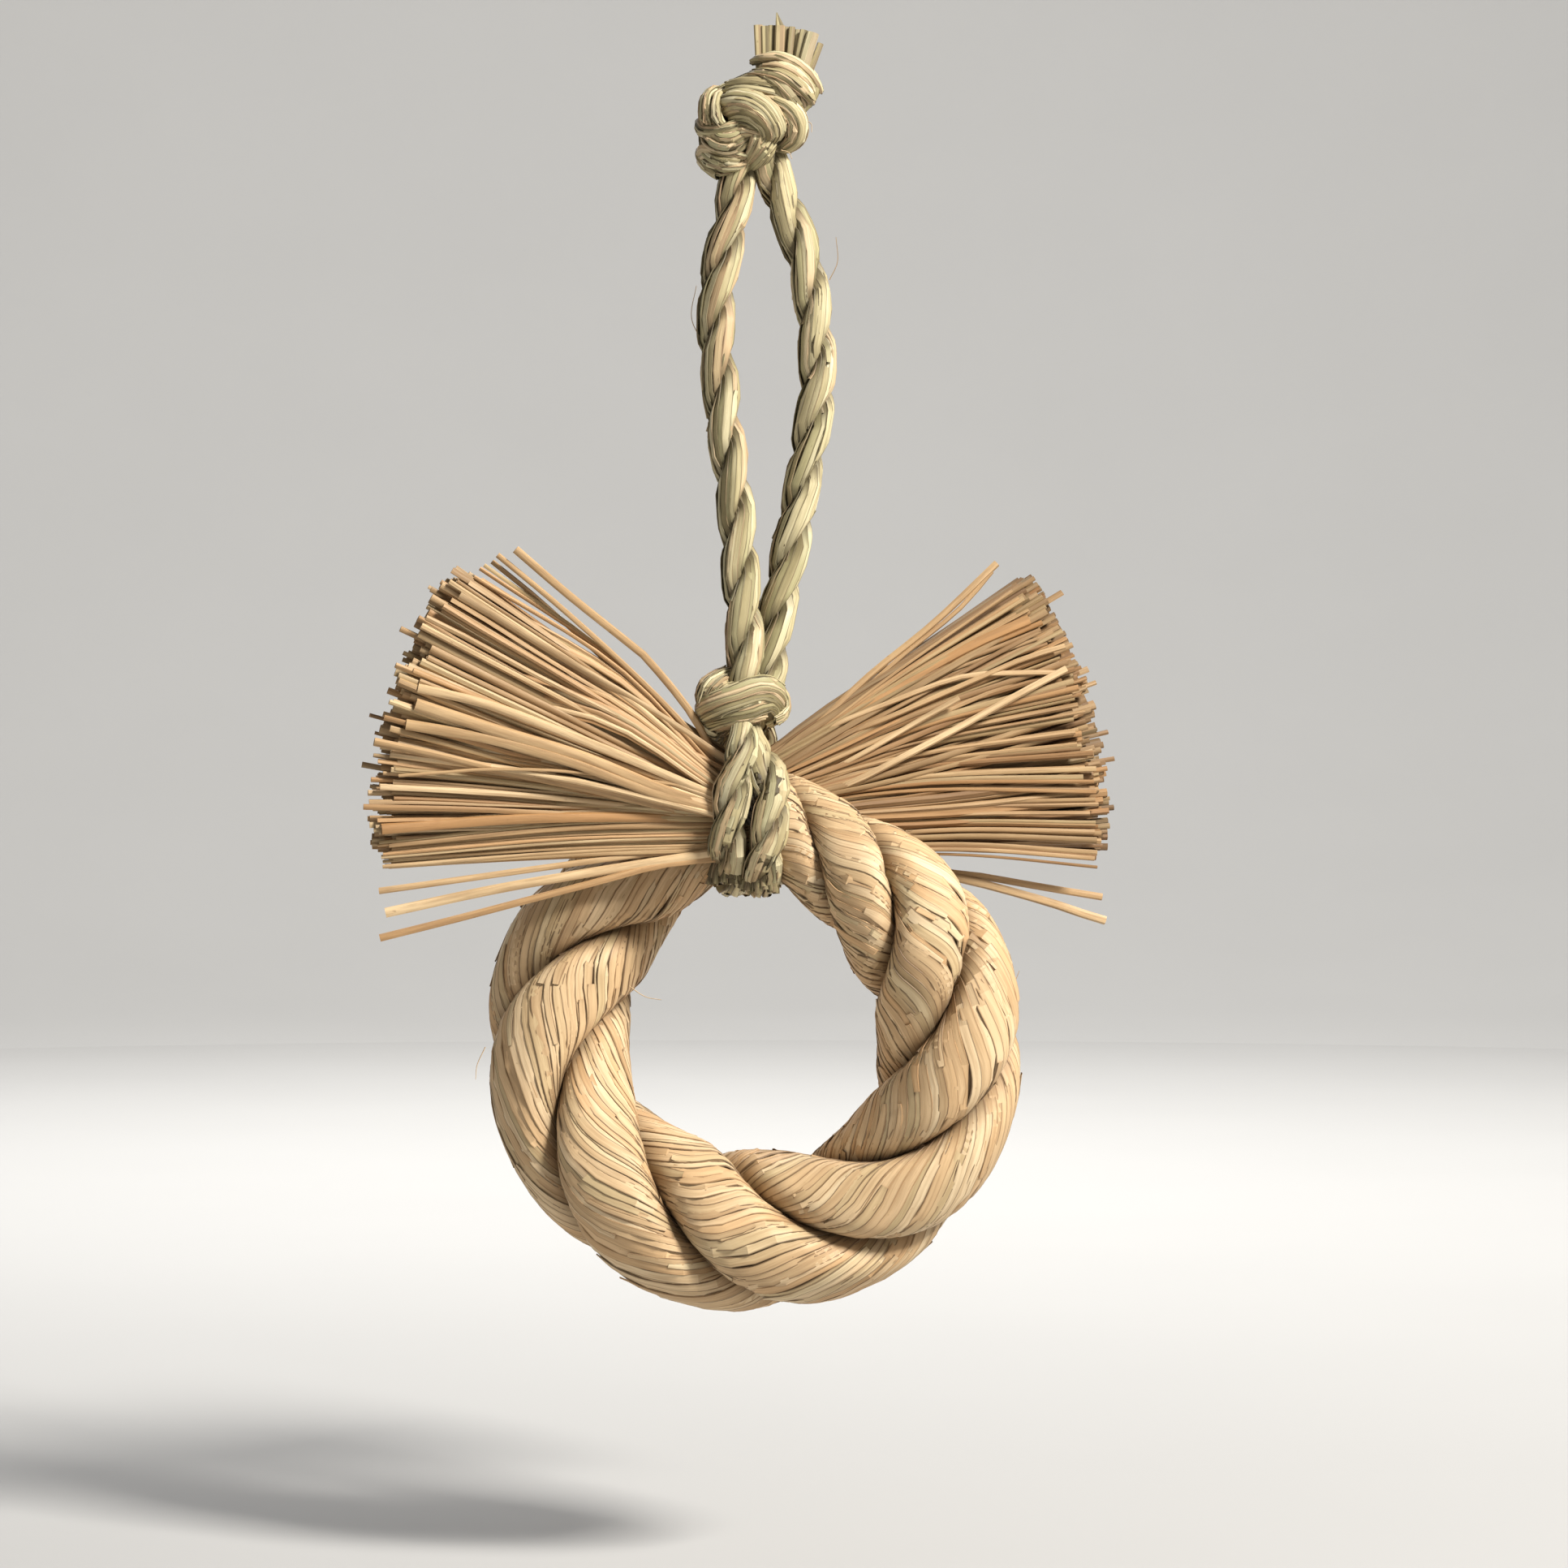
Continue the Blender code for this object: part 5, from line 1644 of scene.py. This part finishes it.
@dataclass
class LooseFibres:
    """Hairs of straw, the dark string between the turns and the short teal thread."""

    hairs: tuple = (
        (((1022, 345), (1032, 322), (1030, 292)), 0.0),
        (((868, 425), (852, 392), (858, 352)), 2.0),
        (((775, 1215), (795, 1228), (815, 1232)), 12.0),
        (((987, 147), (999, 152), (1000, 163)), 6.0),
        (((962, 185), (972, 188), (976, 196)), 6.0),
        (((1238, 1228), (1250, 1210), (1256, 1196)), 8.0),
        (((598, 1290), (588, 1312), (586, 1330)), 8.0),
        (((873, 1069), (864, 1076), (870, 1086)), 8.0),
    )
    string: tuple = (
        (938, 954, 18.4), (934, 968, 18.0), (928, 983, 17.4), (924, 998, 16.6), (922, 1016, 15.6)
    )
    thread: tuple = (
        (956, 980, 16), (962, 983, 18.6), (965, 987, 19.4), (965, 992, 19), (962, 997, 17), (958, 1000, 14.5)
    )
    hair_radius: float = 0.00011
    string_pitch: float = 0.0034
    string_spread: float = 0.00042
    string_ply: float = 0.00048
    thread_radius: float = 0.00028

    def build(self, straw: bpy.types.Material, dark: bpy.types.Material, teal: bpy.types.Material) -> list:
        """Builds all of them.

        Args:
            straw: the hairs' finish.
            dark: the string's finish.
            teal: the thread's finish.

        Returns:
            The objects.
        """
        hairs = StrawMesh()
        for pixels, depth in self.hairs:
            line = traced(tuple((x, y, depth) for x, y in pixels), 12)
            Stalk(self.hair_radius, sides=4, taper=0.6, tone=(0.6, 0.5, 1.0)).run(hairs, line)
        string = StrawMesh()
        line = traced(self.string, 60)
        turn = distances(line) * 2 * math.pi / self.string_pitch
        for start in (0.0, math.pi):
            offset = np.stack((np.cos(turn + start), np.sin(turn + start), 0 * turn), axis=1)
            Stalk(self.string_ply, sides=7).run(string, line + offset * self.string_spread)
        thread = StrawMesh()
        line = traced(self.thread, 16)
        Stalk(self.thread_radius, sides=7, taper=0.8).run(thread, line)
        return [
            hairs.build("loose_hairs", straw),
            string.build("dark_binding_string", dark),
            thread.build("teal_thread_end", teal),
        ]


# The sixth colour of each finish is its painted shade, and the last number how much of it lines the straws'
# edges.
RING_FINISH = StrawFinish(
    "ring_straw_finish", (0.33, 0.19, 0.085), (0.64, 0.45, 0.25), (0.86, 0.70, 0.46),
    (0.62, 0.38, 0.18), (0.54, 0.45, 0.25), (0.09, 0.045, 0.017), 0.4, 0.3, 0.75,
)
BRUSH_FINISH = StrawFinish(
    "brush_straw_finish", (0.21, 0.112, 0.045), (0.47, 0.305, 0.15), (0.74, 0.55, 0.32),
    (0.46, 0.23, 0.08), (0.40, 0.32, 0.16), (0.03, 0.014, 0.005), 0.45, 0.3, 0.0,
)
CORD_FINISH = StrawFinish(
    "cord_straw_finish", (0.19, 0.15, 0.065), (0.51, 0.43, 0.235), (0.81, 0.73, 0.48),
    (0.64, 0.42, 0.25), (0.42, 0.40, 0.21), (0.06, 0.042, 0.016), 0.4, 0.25, 0.72,
)
STRING_FINISH = PlainFinish("dark_string_finish", (0.16, 0.13, 0.09), (0.05, 0.04, 0.03))
THREAD_FINISH = PlainFinish("teal_thread_finish", (0.02, 0.55, 0.50), (0.01, 0.30, 0.28), 0.6)

FINE = (0.0004, 0.0005, 0.0006, 0.0007)
STOUT = (0.0006, 0.0007, 0.0008, 0.0010)
LEFT_SHEAVES = (
    Sheaf(180, (-0.98, -0.1), (-0.98, -0.15), (-0.9, 0.45), 0.0012, FINE),
    Sheaf(250, (-0.5, 0.95), (-0.22, 0.97), (-0.95, 0.4)),
    Sheaf(60, (-0.3, 0.92), (0.1, 0.96), (0.4, 0.98), 0.0, STOUT),
    Sheaf(30, (-0.62, 0.1), (-0.24, 0.25), (0.6, 1.0), 0.0, STOUT),
    Sheaf(70, (-1.0, -0.35), (-0.98, -0.3), (0.4, 0.9), -0.001, FINE),
)
RIGHT_SHEAVES = (
    Sheaf(190, (-0.95, 0.2), (-0.98, 0.22), (-0.9, 0.9), 0.001),
    Sheaf(160, (-0.1, 0.95), (0.1, 0.93), (-0.7, 0.9)),
    Sheaf(44, (0.45, 0.95), (0.62, 0.98), (-0.98, -0.3), 0.0, STOUT),
    Sheaf(50, (-0.1, 0.5), (0.05, 0.6), (-0.98, -0.5), 0.0, FINE),
    Sheaf(44, (-0.9, -0.1), (-0.95, 0.0), (-0.98, -0.5), 0.001, STOUT),
)
LEFT_FRONT = (
    TracedSheaf(
        9, ((888, 950, 11), (760, 812, 16), (598, 692, 20)), ((888, 962, 12), (760, 838, 17), (560, 744, 21)),
    ),
    TracedSheaf(
        26, ((888, 958, 13), (740, 836, 18), (548, 752, 22)),
        ((888, 982, 15), (730, 890, 20), (498, 862, 24)),
    ),
    TracedSheaf(
        16, ((888, 984, 16), (710, 918, 21), (512, 858, 26)),
        ((888, 1006, 16), (700, 962, 22), (478, 932, 27)),
    ),
    TracedSheaf(
        16, ((888, 992, 14), (700, 964, 18), (474, 960, 22)),
        ((888, 1012, 13), (690, 1010, 17), (468, 1030, 22)),
    ),
    TracedSheaf(
        28, ((888, 1010, 13), (700, 1012, 18), (470, 1034, 24)),
        ((888, 1052, 12), (690, 1060, 15), (478, 1072, 20)),
        (0.0004, 0.0005, 0.0006),
    ),
)
RIGHT_FRONT = (
    TracedSheaf(
        12, ((940, 956, -4), (1090, 840, -7), (1250, 728, -10)),
        ((940, 962, -4), (1100, 858, -7), (1290, 790, -10)),
    ),
    TracedSheaf(
        12, ((960, 950, -3), (1120, 870, -6), (1300, 790, -9)),
        ((970, 968, -3), (1140, 900, -6), (1335, 860, -9)),
    ),
    TracedSheaf(
        18, ((960, 960, -3), (1120, 908, -6), (1330, 862, -9)),
        ((985, 990, -3), (1150, 975, -6), (1350, 980, -9)),
        (0.0004, 0.0005, 0.0006, 0.0007),
    ),
    TracedSheaf(
        14, ((1050, 1002, -7), (1180, 990, -8), (1350, 985, -10)),
        ((1120, 1052, -7), (1220, 1055, -8), (1356, 1068, -10)),
    ),
)
LEFT_STRAYS = (
    (1.0, 0.6, 0.5, ((888, 948, 9), (852, 880, 13), (797, 812, 15), (770, 789, 16), (700, 733, 19),
                     (635, 677, 21))),
    (0.7, 0.5, 0.6, ((888, 950, 10), (840, 890, 13), (770, 820, 16), (690, 748, 19), (613, 684, 20))),
    (0.6, 0.4, 0.4, ((888, 955, 10), (830, 893, 12), (750, 818, 15), (665, 740, 17), (606, 692, 18))),
    (0.8, 0.7, 0.5, ((888, 962, 12), (800, 900, 15), (700, 832, 18), (620, 762, 20), (583, 719, 21))),
    (0.8, 0.7, 0.5, ((888, 1046, 10), (800, 1052, 13), (680, 1068, 16), (560, 1085, 19), (467, 1098, 20))),
    (1.2, 0.95, 0.4, ((888, 1050, 14), (810, 1062, 15), (700, 1080, 18), (600, 1098, 20), (475, 1125, 22))),
    (0.9, 0.4, 0.8, ((888, 1058, 14), (815, 1066, 15), (735, 1087, 18), (640, 1112, 20), (560, 1133, 21),
                     (468, 1156, 23))),
    (0.4, 0.5, 0.6, ((888, 976, 16), (800, 962, 20), (690, 950, 24), (600, 948, 26), (545, 952, 27),
                     (491, 956, 28))),
    (1.3, 0.25, 0.95, ((888, 1010, 12), (760, 1007, 17), (640, 1009, 21), (540, 1016, 24), (470, 1022, 27))),
    (1.3, 0.5, 0.3, ((888, 1000, 16), (800, 975, 20), (700, 938, 24), (600, 910, 27), (500, 893, 30))),
    (1.5, 0.6, 0.45, ((888, 992, 15), (820, 975, 19), (720, 934, 23), (610, 900, 27), (512, 868, 30))),
    (1.1, 0.85, 0.4, ((888, 984, 16), (800, 946, 20), (700, 905, 24), (600, 868, 28), (515, 848, 30))),
)
RIGHT_STRAYS = (
    (0.9, 0.6, 0.5, ((938, 958, -4), (1000, 900, -6), (1070, 833, -9), (1150, 768, -11), (1228, 694, -13))),
    (0.6, 0.4, 0.6, ((938, 960, -5), (1010, 900, -8), (1100, 818, -10), (1180, 752, -12), (1222, 704, -13))),
    (0.9, 0.5, 0.5, ((985, 1002, -5), (1070, 1046, -10), (1150, 1072, -14), (1200, 1078, -15),
                     (1280, 1092, -17), (1358, 1105, -18))),
    (1.1, 0.7, 0.6, ((985, 1008, -5), (1065, 1050, -9), (1140, 1074, -13), (1200, 1086, -14),
                     (1288, 1110, -16), (1320, 1121, -17), (1362, 1134, -18))),
    (0.9, 0.9, 0.4, ((950, 990, -9), (990, 986, -6), (1050, 964, -2.6), (1110, 934, -3), (1200, 886, -5),
                     (1265, 850, -6), (1314, 824, -7))),
    (0.7, 0.7, 0.5, ((945, 945, -9), (985, 918, -6.6), (1040, 888, -4.4), (1090, 868, -5), (1180, 835, -6),
                     (1250, 829, -7), (1302, 829, -8))),
    (0.7, 0.6, 0.5, ((945, 950, -9), (1000, 918, -5.6), (1080, 890, -4), (1200, 838, -6), (1260, 812, -7),
                     (1312, 796, -8))),
    (1.4, 0.3, 0.97, ((950, 950, -5), (1030, 890, -6), (1120, 838, -8), (1200, 794, -9), (1268, 764, -10))),
    (0.7, 0.95, 0.4, ((950, 978, -9), (1000, 960, -5), (1060, 930, -3), (1120, 895, -4), (1182, 860, -3))),
)
FRAY_LEFT = (-6.7, -11.8, -156.6)
FRAY_RIGHT = (1.2, -12.6, -158.6)


def settle(piece: bpy.types.Object) -> None:
    """Ties a piece to the wreath and reports it.

    Args:
        piece: the piece.
    """
    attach(piece, "root")
    faces = sum(len(face.vertices) - 2 for face in piece.data.polygons)
    LOG.info("%s: %d triangles", piece.name, faces)


def main() -> None:
    """Builds the wreath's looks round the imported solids."""
    logging.basicConfig(level=logging.INFO, format="%(message)s")
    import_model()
    solid_box = [list(corner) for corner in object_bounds()]
    studio = Studio()
    studio.camera()
    finishes = (RING_FINISH, BRUSH_FINISH, CORD_FINISH)
    ring_straw, brush_straw, cord_straw = (finish.make() for finish in finishes)

    cord = HangingCord()
    legs = [
        cord.leg("cord_leg_left", cord.left_leg, 0.4, 31, cord_straw),
        cord.leg("cord_leg_right", cord.right_leg, 1.5, 41, cord_straw),
    ]
    chance = random.Random(77)
    top = StrawMesh()
    TOP_KNOT.dress(top)
    CutEnds().dress(top, chance)
    top_knot = top.build("top_knot_straws", cord_straw, cord.crease_angle)
    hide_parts("top_knot")
    for k, (leg, line) in enumerate(legs):
        settle(leg)
    settle(top_knot)

    lower = StrawMesh()
    LOWER_KNOT.dress(lower)
    lower_knot = lower.build("lower_knot_straws", cord_straw, cord.crease_angle)
    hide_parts("lower_knot")
    settle(lower_knot)

    rope = RingRope()
    for name, route, fray, turn, seed in (
        ("tie_wrap_left", cord.left_wrap, FRAY_LEFT, 0.3, 51),
        ("tie_wrap_right", cord.right_wrap, FRAY_RIGHT, 1.2, 61),
    ):
        mesh = StrawMesh()
        cord.wrap(route, np.array(rope.tie), turn, seed, mesh)
        FrayedEnd(fray).dress(mesh, chance)
        wrap = mesh.build(f"{name}_plies", cord_straw, cord.crease_angle)
        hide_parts(name)
        settle(wrap)

    for index in range(rope.strand_count):
        settle(rope.strand(index, ring_straw))
    # The right brush is painted darker than the left as shade, in its stalks' lightness and in its inner
    # stalks.
    left = Brush(rope, -1, "brush_left", 5, LEFT_SHEAVES, (0.93, 1.02), (0.25, 1.05), 0.72)
    right = Brush(rope, 1, "brush_right", 9, RIGHT_SHEAVES, (0.95, 1.04), (0.0, 0.58), 0.5)
    settle(left.build(brush_straw, LEFT_FRONT, LEFT_STRAYS))
    settle(right.build(brush_straw, RIGHT_FRONT, RIGHT_STRAYS))
    for piece in LooseFibres().build(ring_straw, STRING_FINISH.make(), THREAD_FINISH.make()):
        settle(piece)

    studio.lights()
    studio.floor(solid_box[0][2])


if __name__ == "__main__":
    main()
